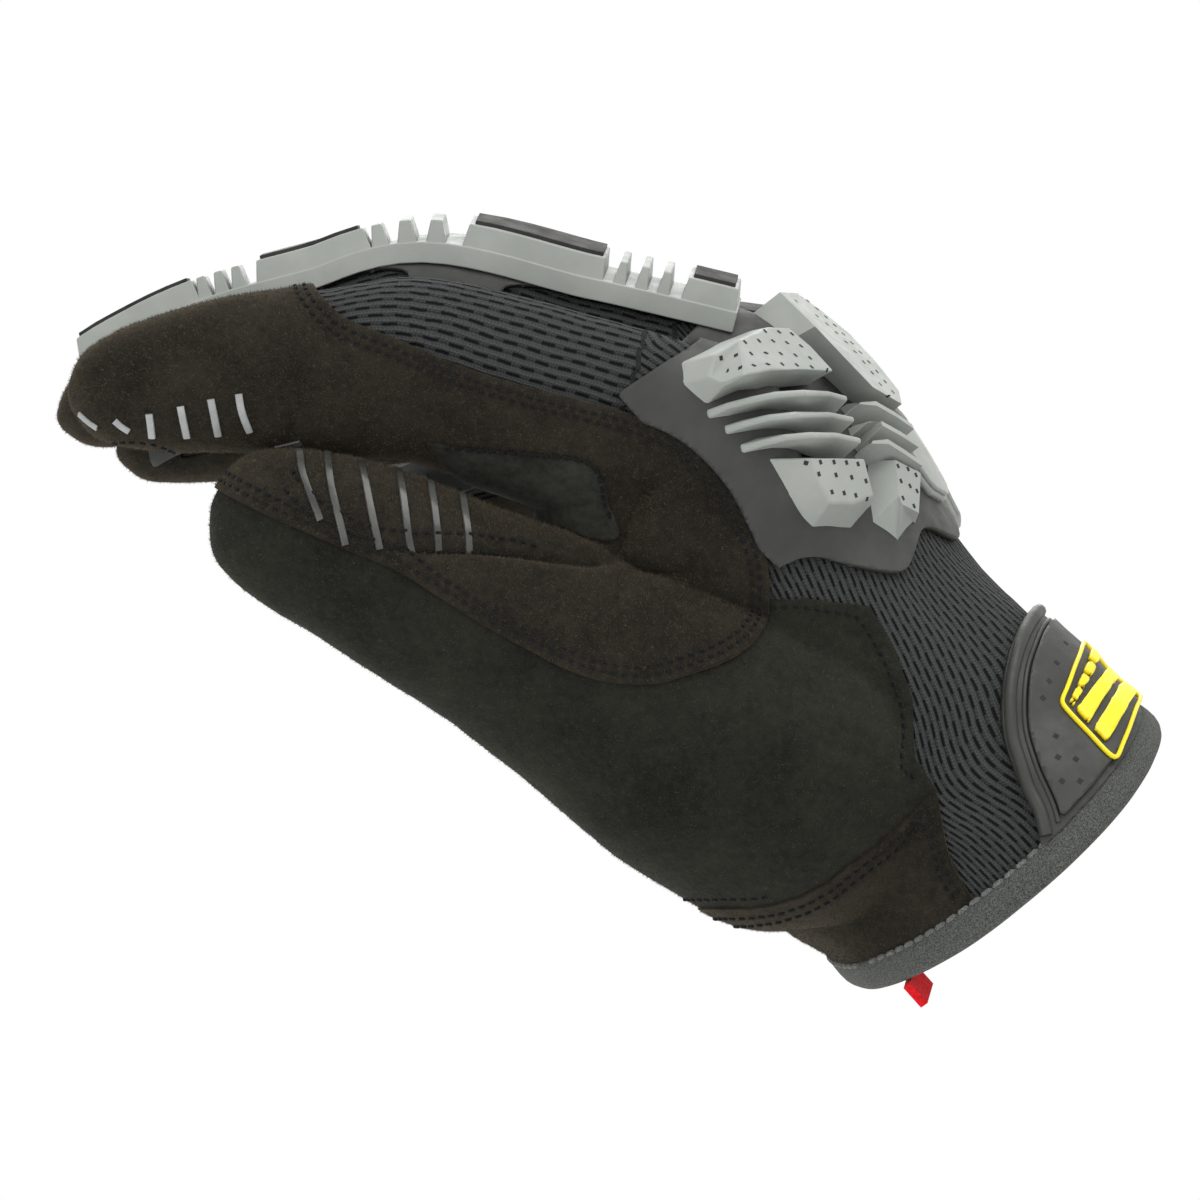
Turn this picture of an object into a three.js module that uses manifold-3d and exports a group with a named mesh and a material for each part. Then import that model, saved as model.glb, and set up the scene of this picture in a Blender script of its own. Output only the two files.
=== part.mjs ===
// A right-hand mechanic's impact glove, held in the shape of a half-closed hand.
// Millimetres. +Z is up, the fingers point to -X, the thumb side faces -Y and the little finger +Y.
// The origin is the centre of the wrist opening.
import * as THREE from "three";
import { mergeVertices } from "three/addons/utils/BufferGeometryUtils.js";
import Module from "manifold-3d";

const wasm = await Module();
wasm.setup();

// Driving sizes of the cloth form
const PALM_LENGTH = 97; // wrist opening to the line of the knuckles
const PALM_WIDTH = 88; // across the knuckles
const PALM_DEPTH = 66; // back to palm at the wrist opening
const CUFF_SLANT = 16; // degrees that the wrist opening turns towards the little finger
const CUFF_TILT = 3; // degrees that it turns towards the back of the hand
const WALL = 2; // suede or knit with its backing
const PATCH_WALL = 1.2; // suede sewn on top of another panel
const RUBBER_BASE = 1.4; // moulded rubber sheet that the pads stand on
const PAD_HEIGHT = 7.5; // knuckle pads above the cloth
const FIN_HEIGHT = 8.5; // the thin fins between the two halves of a knuckle pad
const FIN_THICK = 1.9;
const GUARD_HEIGHT = 6.5; // finger guards above the cloth
const RIB_THICK = 1.7;
const INLAY_THICK = 0.6; // black plate on top of a finger guard
const TAB_THICK = 3.2; // rubber cuff tab
const TAB_RIM = 1.2; // how far the tab's rim stands above its face
const BADGE_THICK = 1.0;
const BINDING_WIDTH = 6; // folded edge round the wrist opening
const BINDING_WALL = 3.4;
const GAP = 0.3; // clearance between neighbouring pieces
const FINGER_SIDES = 10;
const PALM_SIDES = 16;
const LINING_SIDES = 0.75; // share of those sides on the inside of the cloth

// The pose of the hand: how steeply the palm climbs to the knuckles, and how far the back rolls into view
const PALM_CLIMB = 52; // degrees above -X
const BACK_ROLL = 24; // degrees
const SPLAY = 6; // degrees that the palm's line swings away from the viewer

// Directions in the hand: along the palm to the knuckles, across to the little finger, and out of the back
const radians = THREE.MathUtils.degToRad;
const handTurn = new THREE.Matrix4()
  .makeRotationY(radians(PALM_CLIMB))
  .multiply(new THREE.Matrix4().makeRotationZ(radians(-SPLAY)))
  .multiply(new THREE.Matrix4().makeRotationX(radians(BACK_ROLL)));
const ALONG = new THREE.Vector3(-1, 0, 0).transformDirection(handTurn);
const ACROSS = new THREE.Vector3(0, 1, 0).transformDirection(handTurn);
const OUT = new THREE.Vector3(0, 0, 1).transformDirection(handTurn);

// The way out of the wrist opening
const CUFF_AXIS = ALONG.clone()
  .negate()
  .applyAxisAngle(OUT, radians(CUFF_SLANT))
  .applyAxisAngle(ACROSS, radians(CUFF_TILT));

// A point of the hand from its distances along the palm, across it and out of the back
function inHand(along, across, out) {
  return new THREE.Vector3()
    .addScaledVector(ALONG, along)
    .addScaledVector(ACROSS, across)
    .addScaledVector(OUT, out);
}

// The palm's sections, from the cuff to past the knuckles, as shares of its length, width and depth.
// The fall is how far the little finger's side drops below an even oval.
const PALM_SECTIONS = [
  { along: -0.16, shift: -0.04, rise: 0.01, wide: 0.8, deep: 1.24, fall: 0 },
  { along: 0.06, shift: -0.03, rise: -0.01, wide: 0.77, deep: 1.17, fall: 0 },
  { along: 0.3, shift: 0, rise: 0.03, wide: 0.8, deep: 0.92, fall: 0.04 },
  { along: 0.5, shift: 0.01, rise: 0.1, wide: 0.88, deep: 0.68, fall: 0.08 },
  { along: 0.75, shift: 0.01, rise: 0.2, wide: 0.97, deep: 0.56, fall: 0.14 },
  { along: 0.95, shift: 0, rise: 0.22, wide: 1.0, deep: 0.5, fall: 0.18 },
  { along: 1.07, shift: 0, rise: 0.2, wide: 0.96, deep: 0.4, fall: 0.18 },
  { along: 1.14, shift: 0, rise: 0.17, wide: 0.86, deep: 0.24, fall: 0.16 },
];

// Each digit: its root as shares of the palm's length, width and depth; its length, width and thickness;
// the angle of its three bones above -X in the picture plane; and how far it swings to +Y
const DIGITS = {
  index: {
    along: 0.96, across: -0.375, out: 0.23,
    length: 116, width: 23.5, thick: 31, bend: [16, -2, -8], swing: -1,
  },
  middle: {
    along: 1.01, across: -0.11, out: 0.27,
    length: 131, width: 22.5, thick: 26, bend: [14, -11, -18], swing: 1,
  },
  ring: {
    along: 0.95, across: 0.15, out: 0.19,
    length: 129, width: 22, thick: 25, bend: [8, -10, -12], swing: 2.5,
  },
  little: {
    along: 0.86, across: 0.385, out: 0.08,
    length: 98, width: 19.5, thick: 22, bend: [3, -15, -22], swing: 5,
  },
};
const BONE_ENDS = [0.44, 0.73, 1]; // where the finger's bones end, as shares of its length
const FINGER_SECTIONS = [
  { along: -0.22, wide: 0.6, thick: 0.5 },
  { along: 0.0, wide: 1.0, thick: 1.18 },
  { along: 0.3, wide: 1.0, thick: 1.14 },
  { along: 0.44, wide: 1.0, thick: 1.08 },
  { along: 0.73, wide: 0.92, thick: 0.86 },
  { along: 0.85, wide: 0.86, thick: 0.74 },
  { along: 0.93, wide: 0.74, thick: 0.6 },
  { along: 1.0, wide: 0.34, thick: 0.24 },
];

// The web of cloth between the thumb and the index finger
const WEB = {
  along: 0.62, across: -0.3, out: 0.02,
  length: 44, width: 30, thick: 52, bend: [42, 42, 42], swing: -4, straightRoot: true,
};
const WEB_SECTIONS = [
  { along: -0.3, wide: 0.7, thick: 0.7 },
  { along: 0.3, wide: 1.0, thick: 1.0 },
  { along: 0.75, wide: 0.85, thick: 0.85 },
  { along: 1.0, wide: 0.55, thick: 0.5 },
];

// The thumb, which is a broad paddle that grows out of the heel of the palm
const THUMB = {
  along: 0.4, across: -0.4, out: -0.22,
  length: 112, width: 33, thick: 38, bend: [30, 27, 22], swing: -7, straightRoot: true,
};
const THUMB_SECTIONS = [
  { along: -0.3, wide: 0.6, thick: 0.6 },
  { along: -0.12, wide: 1.3, thick: 1.35 },
  { along: 0.08, wide: 1.35, thick: 1.42 },
  { along: 0.3, wide: 1.15, thick: 1.22 },
  { along: 0.5, wide: 1.0, thick: 1.03 },
  { along: 0.68, wide: 0.9, thick: 0.92 },
  { along: 0.84, wide: 0.8, thick: 0.78 },
  { along: 0.94, wide: 0.62, thick: 0.58 },
  { along: 1.0, wide: 0.3, thick: 0.28 },
];

// The centre line of a digit: straight bones whose joints are rounded by a curve
function digitLine(digit) {
  const swing = radians(digit.swing);
  const heading = (pitch) =>
    new THREE.Vector3(
      -Math.cos(radians(pitch)) * Math.cos(swing),
      Math.sin(swing),
      Math.sin(radians(pitch)) * Math.cos(swing),
    );
  const root = inHand(
    digit.along * PALM_LENGTH,
    digit.across * PALM_WIDTH,
    digit.out * PALM_DEPTH,
  );
  const points = [];
  let at = root.clone();
  let from = 0;
  digit.bend.forEach((pitch, joint) => {
    const bone = heading(pitch).multiplyScalar((BONE_ENDS[joint] - from) * digit.length);
    points.push(at.clone(), at.clone().addScaledVector(bone, 0.5));
    at.add(bone);
    from = BONE_ENDS[joint];
  });
  points.push(at);
  const first = heading(digit.bend[0]);
  return { curve: new THREE.CatmullRomCurve3(points, false, "centripetal"), root, first };
}

// The frame of a digit at a share of its length: its centre, and the ways along, across and out of its back.
// Behind its root a finger follows the palm.
function digitFrame(digit, share) {
  const { curve, root, first } = (digit.line ??= digitLine(digit));
  const back = digit.straightRoot ? first : ALONG;
  const behind = share < 0;
  const centre = behind ? root.clone().addScaledVector(back, share * digit.length) : curve.getPointAt(share);
  const along = behind ? back.clone() : curve.getTangentAt(share);
  const across = ACROSS.clone().addScaledVector(along, -ACROSS.dot(along)).normalize();
  const out = new THREE.Vector3().crossVectors(across, along);
  return { centre, along, across, out };
}

// A closed tube through oval sections; each holds its centre, two directions, two half sizes and its fall
function loft(sections, sides) {
  const points = [];
  for (const s of sections)
    for (let i = 0; i < sides; i++) {
      const turn = (i / sides) * 2 * Math.PI;
      const drop = s.fall * Math.max(0, Math.cos(turn)) ** 2;
      points.push(
        s.centre
          .clone()
          .addScaledVector(s.across, s.halfWide * Math.cos(turn))
          .addScaledVector(s.out, s.halfThick * Math.sin(turn) - drop),
      );
    }
  const faces = [];
  for (let k = 0; k + 1 < sections.length; k++)
    for (let i = 0; i < sides; i++) {
      const a = k * sides + i;
      const b = k * sides + ((i + 1) % sides);
      faces.push(a, b, b + sides, a, b + sides, a + sides);
    }
  for (const [end, flip] of [[0, true], [sections.length - 1, false]]) {
    const hub = points.push(sections[end].centre.clone()) - 1;
    for (let i = 0; i < sides; i++) {
      const a = end * sides + i;
      const b = end * sides + ((i + 1) % sides);
      faces.push(...(flip ? [hub, b, a] : [hub, a, b]));
    }
  }
  return solid(points, faces);
}

// A closed geometry as a manifold solid, turned to face out
function solidOf(geometry) {
  const merged = mergeVertices(geometry, 1e-4);
  const vertProperties = merged.attributes.position.array;
  const triVerts = new Uint32Array(merged.index.array);
  const made = new wasm.Manifold(new wasm.Mesh({ numProp: 3, vertProperties, triVerts }));
  if (made.volume() > 0) return made;
  for (let i = 0; i < triVerts.length; i += 3) {
    [triVerts[i], triVerts[i + 1]] = [triVerts[i + 1], triVerts[i]];
  }
  return new wasm.Manifold(new wasm.Mesh({ numProp: 3, vertProperties, triVerts }));
}
const solid = (points, faces) => solidOf(new THREE.BufferGeometry().setFromPoints(points).setIndex(faces));

// A solid's mesh as geometry
function geometryOf(made) {
  const { vertProperties, triVerts } = made.getMesh();
  return new THREE.BufferGeometry()
    .setAttribute("position", new THREE.BufferAttribute(vertProperties, 3))
    .setIndex(new THREE.BufferAttribute(triVerts, 1));
}

// How far a form's end sections move when it grows
const endShift = (i, table, grow) => (i === 0 ? -grow : i === table.length - 1 ? grow : 0);
const sidesFor = (sides, grow) => (grow < 0 ? Math.round(sides * LINING_SIDES) : sides);

// The palm's block, grown by a distance
function palmForm(grow) {
  const form = loft(
    PALM_SECTIONS.map((s, i) => ({
      centre: inHand(
        s.along * PALM_LENGTH + endShift(i, PALM_SECTIONS, grow),
        s.shift * PALM_WIDTH,
        s.rise * PALM_DEPTH,
      ),
      across: ACROSS,
      out: OUT,
      halfWide: (s.wide * PALM_WIDTH) / 2 + grow,
      halfThick: (s.deep * PALM_DEPTH) / 2 + grow,
      fall: s.fall * PALM_DEPTH,
    })),
    sidesFor(PALM_SIDES, grow),
  );
  return form;
}

// One digit, grown by a distance
function digitForm(digit, table, grow) {
  return loft(
    table.map((s, i) => {
      const frame = digitFrame(digit, s.along);
      frame.centre.addScaledVector(frame.along, endShift(i, table, grow));
      return {
        ...frame,
        halfWide: Math.max((s.wide * digit.width) / 2 + grow, 1),
        halfThick: Math.max((s.thick * digit.thick) / 2 + grow, 1),
        fall: 0,
      };
    }),
    sidesFor(FINGER_SIDES, grow),
  );
}

// The whole hand grown by a distance; kept, because many pieces are layers of it
const forms = new Map();
function handForm(grow) {
  if (!forms.has(grow)) {
    let form = palmForm(grow).add(digitForm(WEB, WEB_SECTIONS, grow));
    form = form.add(digitForm(THUMB, THUMB_SECTIONS, grow));
    for (const digit of Object.values(DIGITS)) form = form.add(digitForm(digit, FINGER_SECTIONS, grow));
    forms.set(grow, form.trimByPlane(CUFF_AXIS.clone().negate().toArray(), 0));
  }
  return forms.get(grow);
}

// The skin of the hand between two heights above the cloth
const layer = (low, high) => handForm(high).subtract(handForm(low));

// An outline swept along a direction; a taper above 0 shrinks it towards its centre at the far end
function prism(drawn, u, v, w, from, to, taper = 0) {
  const outline = THREE.ShapeUtils.isClockWise(drawn) ? [...drawn].reverse() : drawn;
  const middle = outline.reduce((sum, p) => sum.add(p), new THREE.Vector2()).divideScalar(outline.length);
  const rings = [from, to].map((t, end) =>
    outline.map((p) => {
      const q = p.clone().lerp(middle, end * taper);
      return u.clone().multiplyScalar(q.x).addScaledVector(v, q.y).addScaledVector(w, t);
    }),
  );
  const n = outline.length;
  const caps = THREE.ShapeUtils.triangulateShape(outline, []);
  const faces = [];
  for (const [a, b, c] of caps) faces.push(a, c, b, a + n, b + n, c + n);
  for (let i = 0; i < n; i++) {
    const j = (i + 1) % n;
    faces.push(i, j, j + n, i, j + n, i + n);
  }
  return solid(rings.flat(), faces);
}

const point2 = ([x, y]) => new THREE.Vector2(x, y);
const X = new THREE.Vector3(1, 0, 0);
const Y = new THREE.Vector3(0, 1, 0);
const Z = new THREE.Vector3(0, 0, 1);
const FAR = 400; // longer than anything in the glove

// The biggest of a solid's separate bodies, which drops the slivers that an oblique sweep leaves
const largest = (made) => made.decompose().reduce((a, b) => (a.volume() > b.volume() ? a : b));

// Half of space beyond a plane
function beyond(point, normal) {
  const other = Math.abs(normal.z) < 0.9 ? Z : X;
  const u = new THREE.Vector3().crossVectors(normal, other).normalize();
  const v = new THREE.Vector3().crossVectors(normal, u);
  const square = [[-FAR, -FAR], [FAR, -FAR], [FAR, FAR], [-FAR, FAR]].map(point2);
  return prism(square, u, v, normal, point.dot(normal), point.dot(normal) + FAR);
}

const glove = new THREE.Group();
const COLOURS = {
  suede: { color: "#1f1b17", roughness: 0.95 },
  palm_suede: { color: "#1a1b1a", roughness: 0.95 },
  knit: { color: "#26272b", roughness: 0.9 },
  grey_rubber: { color: "#7e8382", roughness: 0.55 },
  dark_rubber: { color: "#3f4142", roughness: 0.6 },
  inlay: { color: "#15130f", roughness: 0.7 },
  binding: { color: "#3a3c3f", roughness: 0.9 },
  badge: { color: "#f2dc16", roughness: 0.5 },
  pull: { color: "#c01018", roughness: 0.8 },
};

function addPiece(name, made, finish) {
  const whole = largest(solidOf(geometryOf(largest(made))));
  const piece = new THREE.Mesh(geometryOf(whole), new THREE.MeshStandardMaterial(COLOURS[finish]));
  piece.name = name;
  glove.add(piece);
}

// The cloth: one wall round the hand, cut into finger sleeves, a thumb sleeve, a back, a palm and a wrist
// panel. It stops short of the wrist opening by the width of the binding.
const inward = CUFF_AXIS.clone().negate().toArray();
const cloth = handForm(0).subtract(handForm(-WALL)).trimByPlane(inward, BINDING_WIDTH + GAP);
const SLEEVE_START = { index: 0.3, middle: 0.24, ring: 0.26, little: 0.3 };
const THUMB_START = 0.4;
let body = cloth;
function cutSleeve(name, digit, table, start, finish) {
  const frame = digitFrame(digit, start);
  body = body.subtract(digitForm(digit, table, WALL).intersect(beyond(frame.centre, frame.along)));
  const sleeve = digitForm(digit, table, 0)
    .subtract(digitForm(digit, table, -WALL))
    .intersect(beyond(frame.centre.clone().addScaledVector(frame.along, GAP), frame.along));
  addPiece(name, sleeve, finish);
}
for (const [name, digit] of Object.entries(DIGITS))
  cutSleeve(
    name + "_sleeve",
    digit,
    FINGER_SECTIONS,
    SLEEVE_START[name],
    name === "index" ? "suede" : "knit",
  );
cutSleeve("thumb_sleeve", THUMB, THUMB_SECTIONS, THUMB_START, "palm_suede");

// Where the knit back meets the suede palm, seen along the knuckles: shares of palm length and depth
const SIDE_SEAM = [
  { along: -0.4, out: 0.05 },
  { along: 0.03, out: 0.08 },
  { along: 0.25, out: 0.17 },
  { along: 0.44, out: 0.3 },
  { along: 0.56, out: 0.31 },
  { along: 0.74, out: 0.22 },
  { along: 0.95, out: 0.2 },
  { along: 1.9, out: 0.2 },
];
const WRIST_SEAM = 0.16; // share of the palm's length where the wrist panel meets the palm
function aboveSideSeam(lift) {
  const line = SIDE_SEAM.map((s) => point2([s.along * PALM_LENGTH, s.out * PALM_DEPTH + lift]));
  const outline = [...line, point2([FAR, FAR]), point2([-FAR, FAR])];
  return prism(outline, ALONG, OUT, ACROSS, -FAR, FAR);
}
addPiece("back_panel", body.intersect(aboveSideSeam(GAP / 2)), "knit");
const below = body.subtract(aboveSideSeam(-GAP / 2));
const seamAt = WRIST_SEAM * PALM_LENGTH;
addPiece("palm_panel", below.trimByPlane(ALONG.toArray(), seamAt + GAP / 2), "palm_suede");
addPiece("wrist_panel", below.trimByPlane(ALONG.clone().negate().toArray(), GAP / 2 - seamAt), "palm_suede");

// An outline moved outwards by a distance
function grown(outline, by) {
  const n = outline.length;
  const turn = Math.sign(THREE.ShapeUtils.area(outline));
  return outline.map((p, i) => {
    const chord = outline[(i + 1) % n].clone().sub(outline[(i + n - 1) % n]).normalize();
    return p.clone().add(new THREE.Vector2(chord.y, -chord.x).multiplyScalar(turn * by));
  });
}

// The suede saddle sewn over the crotch between the thumb and the index finger. Its outline lies in the
// plane of the picture, in shares of the palm's length from the wrist opening: to the right, and up.
const SADDLE_OUTLINE = [
  { right: -1.2, up: 0.97 },
  { right: -1.03, up: 0.92 },
  { right: -0.86, up: 0.87 },
  { right: -0.75, up: 0.845 },
  { right: -0.62, up: 0.79 },
  { right: -0.53, up: 0.7 },
  { right: -0.475, up: 0.585 },
  { right: -0.465, up: 0.49 },
  { right: -0.495, up: 0.415 },
  { right: -0.56, up: 0.37 },
  { right: -0.68, up: 0.33 },
  { right: -0.78, up: 0.34 },
  { right: -0.9, up: 0.39 },
  { right: -1.01, up: 0.45 },
  { right: -1.16, up: 0.54 },
  { right: -1.16, up: 0.75 },
];
const SADDLE_BACK = 0.2; // how far behind the wrist's centre the saddle stops, towards the viewer
const saddleOutline = SADDLE_OUTLINE.map(({ right, up }) =>
  new THREE.Vector2(right, up).multiplyScalar(PALM_LENGTH),
);
const saddleSweep = (margin) =>
  prism(grown(saddleOutline, margin), X, Z, Y, -FAR, (margin > 0 ? 0 : -SADDLE_BACK) * PALM_WIDTH);
addPiece("saddle_patch", layer(GAP, GAP + PATCH_WALL).intersect(saddleSweep(0)), "suede");

// Everything over an outline drawn on the back of the hand, in shares of the palm's length and width
const SIDE_REACH = 0.24; // how far down the side of the hand it reaches, as a share of the palm's depth
function overBack(outline, reach, margin = 0) {
  const points = outline.map(
    ({ along, across }) => new THREE.Vector2(along * PALM_LENGTH, across * PALM_WIDTH),
  );
  return prism(grown(points, margin), ALONG, ACROSS, OUT, reach * PALM_DEPTH, FAR);
}

// Dark rubber sheet under the four knuckle pads, scalloped behind each one
const KNUCKLE_BASE = [
  { along: 1.09, across: -0.66 },
  { along: 1.09, across: -0.4 },
  { along: 1.14, across: -0.22 },
  { along: 1.14, across: 0.04 },
  { along: 1.1, across: 0.2 },
  { along: 1.04, across: 0.34 },
  { along: 0.98, across: 0.46 },
  { along: 0.92, across: 0.66 },
  { along: 0.64, across: 0.66 },
  { along: 0.56, across: 0.36 },
  { along: 0.6, across: 0.24 },
  { along: 0.53, across: 0.08 },
  { along: 0.58, across: -0.06 },
  { along: 0.53, across: -0.22 },
  { along: 0.59, across: -0.33 },
  { along: 0.66, across: -0.42 },
  { along: 0.72, across: -0.66 },
];
const BASE_TOP = GAP + RUBBER_BASE;
const knuckleBase = layer(GAP, BASE_TOP)
  .intersect(overBack(KNUCKLE_BASE, SIDE_REACH))
  .subtract(saddleSweep(GAP));
addPiece("knuckle_base", knuckleBase, "dark_rubber");

// Four grey knuckle pads, each a front half, three fins and a rear half on one thin sole. A row gives the
// middle of the pad across the palm, its widths at the front and the rear, how far it leans to the thumb
// behind the knuckle, and its shift towards the fingers.
const KNUCKLES = {
  index: { across: -0.37, front: 0.32, rear: 0.18, lean: 0.1, shift: 0 },
  middle: { across: -0.06, front: 0.24, rear: 0.16, lean: 0.42, shift: 0.015 },
  ring: { across: 0.2, front: 0.22, rear: 0.14, lean: 0.42, shift: -0.02 },
  little: { across: 0.43, front: 0.17, rear: 0.12, lean: 0.4, shift: -0.07 },
};
const PAD_FRONT = 1.06; // shares of the palm's length
const PAD_FRONT_FOOT = 0.94;
const PAD_REAR_TOP = 0.8;
const PAD_REAR = 0.64;
const PAD_CORNER = 0.04;
const PAD_SKEW = 0.35; // the fins run back towards the little finger by this much of their length
const PAD_TAPER = 0.24;
const FIN_TAPER = 0.14;
const FINS = [0.905, 0.87, 0.835];
const PAD_FOOT = BASE_TOP + GAP;
const SOLE = 1.2;
function knucklePad(digit, { across, front, rear, lean, shift }) {
  const block = (outline, high, taper) => {
    const points = outline.map(([along, side]) => {
      const t = (along - PAD_REAR) / (PAD_FRONT - PAD_REAR);
      const off = (side * (rear + (front - rear) * t)) / 2;
      return new THREE.Vector2(
        (along + shift - PAD_SKEW * off) * PALM_LENGTH,
        (across - lean * (PAD_FRONT_FOOT - along) + off) * PALM_WIDTH,
      );
    });
    const column = prism(points, ALONG, ACROSS, OUT, SIDE_REACH * PALM_DEPTH, PALM_DEPTH, taper);
    const top = palmForm(high).add(digitForm(digit, FINGER_SECTIONS, high));
    return top.intersect(column).subtract(handForm(PAD_FOOT));
  };
  const frontHalf = [
    [PAD_FRONT_FOOT, -1], [PAD_FRONT - PAD_CORNER, -1], [PAD_FRONT, -0.6],
    [PAD_FRONT, 0.6], [PAD_FRONT - PAD_CORNER, 1], [PAD_FRONT_FOOT, 1],
  ];
  const rearHalf = [
    [PAD_REAR_TOP, -1], [PAD_REAR_TOP, 1], [PAD_REAR + PAD_CORNER, 1],
    [PAD_REAR, 0.5], [PAD_REAR, -0.5], [PAD_REAR + PAD_CORNER, -1],
  ];
  const sole = [
    [PAD_FRONT - PAD_CORNER, -0.9], [PAD_FRONT - PAD_CORNER, 0.9],
    [PAD_REAR + PAD_CORNER, 0.9], [PAD_REAR + PAD_CORNER, -0.9],
  ];
  const thin = FIN_THICK / PALM_LENGTH / 2;
  let pad = block(frontHalf, PAD_HEIGHT, PAD_TAPER)
    .add(block(rearHalf, PAD_HEIGHT, PAD_TAPER))
    .add(block(sole, PAD_FOOT + SOLE, 0));
  for (const at of FINS) {
    const fin = [[at - thin, -1], [at + thin, -1], [at + thin, 1], [at - thin, 1]];
    pad = pad.add(block(fin, FIN_HEIGHT, FIN_TAPER));
  }
  return pad;
}
for (const [name, knuckle] of Object.entries(KNUCKLES))
  addPiece("knuckle_pad_" + name, knucklePad(DIGITS[name], knuckle), "grey_rubber");

// A finger's section at a share of its length
function sectionAt(table, share) {
  const next = Math.max(1, table.findIndex((row) => row.along >= share));
  const [a, b] = [table[next - 1], table[next]];
  const t = (share - a.along) / (b.along - a.along);
  return { wide: a.wide + (b.wide - a.wide) * t, thick: a.thick + (b.thick - a.thick) * t };
}

// A block along the back of a finger between two shares of its length. Its foot and top lie at two heights
// above the crown of the finger; their widths are shares of the finger's.
function backBlock(digit, { from, to }, low, high, footWide, topWide) {
  const ring = (share) => {
    const frame = digitFrame(digit, share);
    const row = sectionAt(FINGER_SECTIONS, share);
    const crown = (row.thick * digit.thick) / 2;
    const corner = (side, height, wide) =>
      frame.centre
        .clone()
        .addScaledVector(frame.across, (side * wide * row.wide * digit.width) / 2)
        .addScaledVector(frame.out, crown + height);
    return [
      corner(-1, low, footWide),
      corner(1, low, footWide),
      corner(1, high, topWide),
      corner(-1, high, topWide),
    ];
  };
  const faces = [0, 1, 2, 0, 2, 3, 4, 6, 5, 4, 7, 6];
  for (let i = 0; i < 4; i++) {
    const j = (i + 1) % 4;
    faces.push(i, j + 4, j, i, i + 4, j + 4);
  }
  return solid([...ring(from), ...ring(to)], faces);
}

// Finger guards: a grey bar along the back of the finger that is broken into thin ribs over each joint, on
// one thin sole that ends in a cap over the fingertip. Each bar has a black plate on top. The index finger
// has no guard.
const GUARD_START = { middle: 0, ring: 0, little: 0.2 }; // bars nearer the knuckles are left off
const barsOf = (name) => BARS.filter((bar) => bar.from >= GUARD_START[name]);
const BARS = [
  { from: 0.015, to: 0.105 },
  { from: 0.215, to: 0.415 },
  { from: 0.5, to: 0.68 },
  { from: 0.75, to: 0.94 },
];
const RIBS = [0.118, 0.15, 0.182, 0.425, 0.452, 0.479, 0.69, 0.712, 0.734];
const BAR_FOOT = 0.62; // shares of the finger's width
const BAR_TOP = 0.42;
const SOLE_FOOT = 0.92;
const SOLE_STEPS = [0.015, 0.3, 0.44, 0.59, 0.73, 0.94];
const INLAY_WIDE = 0.3;
const INLAY_SETBACK = 0.012;
const CAP_START = 0.925;
const CAP_LEAN = 0.35; // the cap's edge leans back along the finger's pad
const GUARD_SIDE = 8; // how far the sole comes down the sides of the finger below its crown
const guardFoot = GAP * 2;
function fingerGuard(name, digit) {
  const tip = digitFrame(digit, CAP_START);
  const leaning = tip.along.clone().addScaledVector(tip.out, CAP_LEAN).normalize();
  const cap = beyond(tip.centre, leaning);
  let guard = digitForm(digit, FINGER_SECTIONS, guardFoot + RUBBER_BASE).intersect(cap);
  for (let i = 0; i + 1 < SOLE_STEPS.length; i++) {
    const step = { from: SOLE_STEPS[i], to: SOLE_STEPS[i + 1] };
    guard = guard.add(backBlock(digit, step, -GUARD_SIDE, guardFoot + RUBBER_BASE, SOLE_FOOT, BAR_FOOT));
  }
  const upper = (span) => backBlock(digit, span, 0, GUARD_HEIGHT, BAR_FOOT, BAR_TOP);
  for (const bar of barsOf(name)) guard = guard.add(upper(bar));
  for (const from of RIBS) guard = guard.add(upper({ from, to: from + RIB_THICK / digit.length }));
  return guard.subtract(handForm(guardFoot)).subtract(overBack(KNUCKLE_BASE, 0, GAP));
}
for (const name of Object.keys(GUARD_START)) {
  const digit = DIGITS[name];
  addPiece(name + "_guard", fingerGuard(name, digit), "grey_rubber");
  barsOf(name).forEach((bar, i) => {
    const span = { from: bar.from + INLAY_SETBACK, to: bar.to - INLAY_SETBACK };
    const low = GUARD_HEIGHT + GAP;
    const plate = backBlock(digit, span, low, low + INLAY_THICK, INLAY_WIDE, INLAY_WIDE);
    addPiece(name + "_inlay_" + (i + 1), plate.subtract(handForm(guardFoot)), "inlay");
  });
}

// Folded binding round the wrist opening
const ring = palmForm((BINDING_WALL - WALL) / 2).subtract(palmForm(-(BINDING_WALL + WALL) / 2));
const binding = ring
  .trimByPlane(inward, 0)
  .trimByPlane(CUFF_AXIS.toArray(), -BINDING_WIDTH);
addPiece("cuff_binding", binding, "binding");

// Rubber tab that closes the cuff over the back of the wrist, with a raised rim
const TAB_OUTLINE = [
  { along: 0.3, across: -0.02 },
  { along: 0.26, across: -0.17 },
  { along: 0.21, across: -0.25 },
  { along: 0.11, across: -0.31 },
  { along: 0.01, across: -0.36 },
  { along: -0.04, across: -0.37 },
  { along: -0.01, across: -0.25 },
  { along: 0.03, across: -0.1 },
  { along: 0.075, across: 0.05 },
  { along: 0.11, across: 0.18 },
  { along: 0.145, across: 0.3 },
  { along: 0.27, across: 0.3 },
  { along: 0.3, across: 0.14 },
];
const RIM_WIDE = 2.2;
const tabTop = GAP + TAB_THICK;
const tab = layer(GAP, tabTop)
  .intersect(overBack(TAB_OUTLINE, 0))
  .subtract(layer(tabTop - TAB_RIM, tabTop + TAB_RIM).intersect(overBack(TAB_OUTLINE, 0, -RIM_WIDE)));
addPiece("cuff_tab", tab, "dark_rubber");

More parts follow.
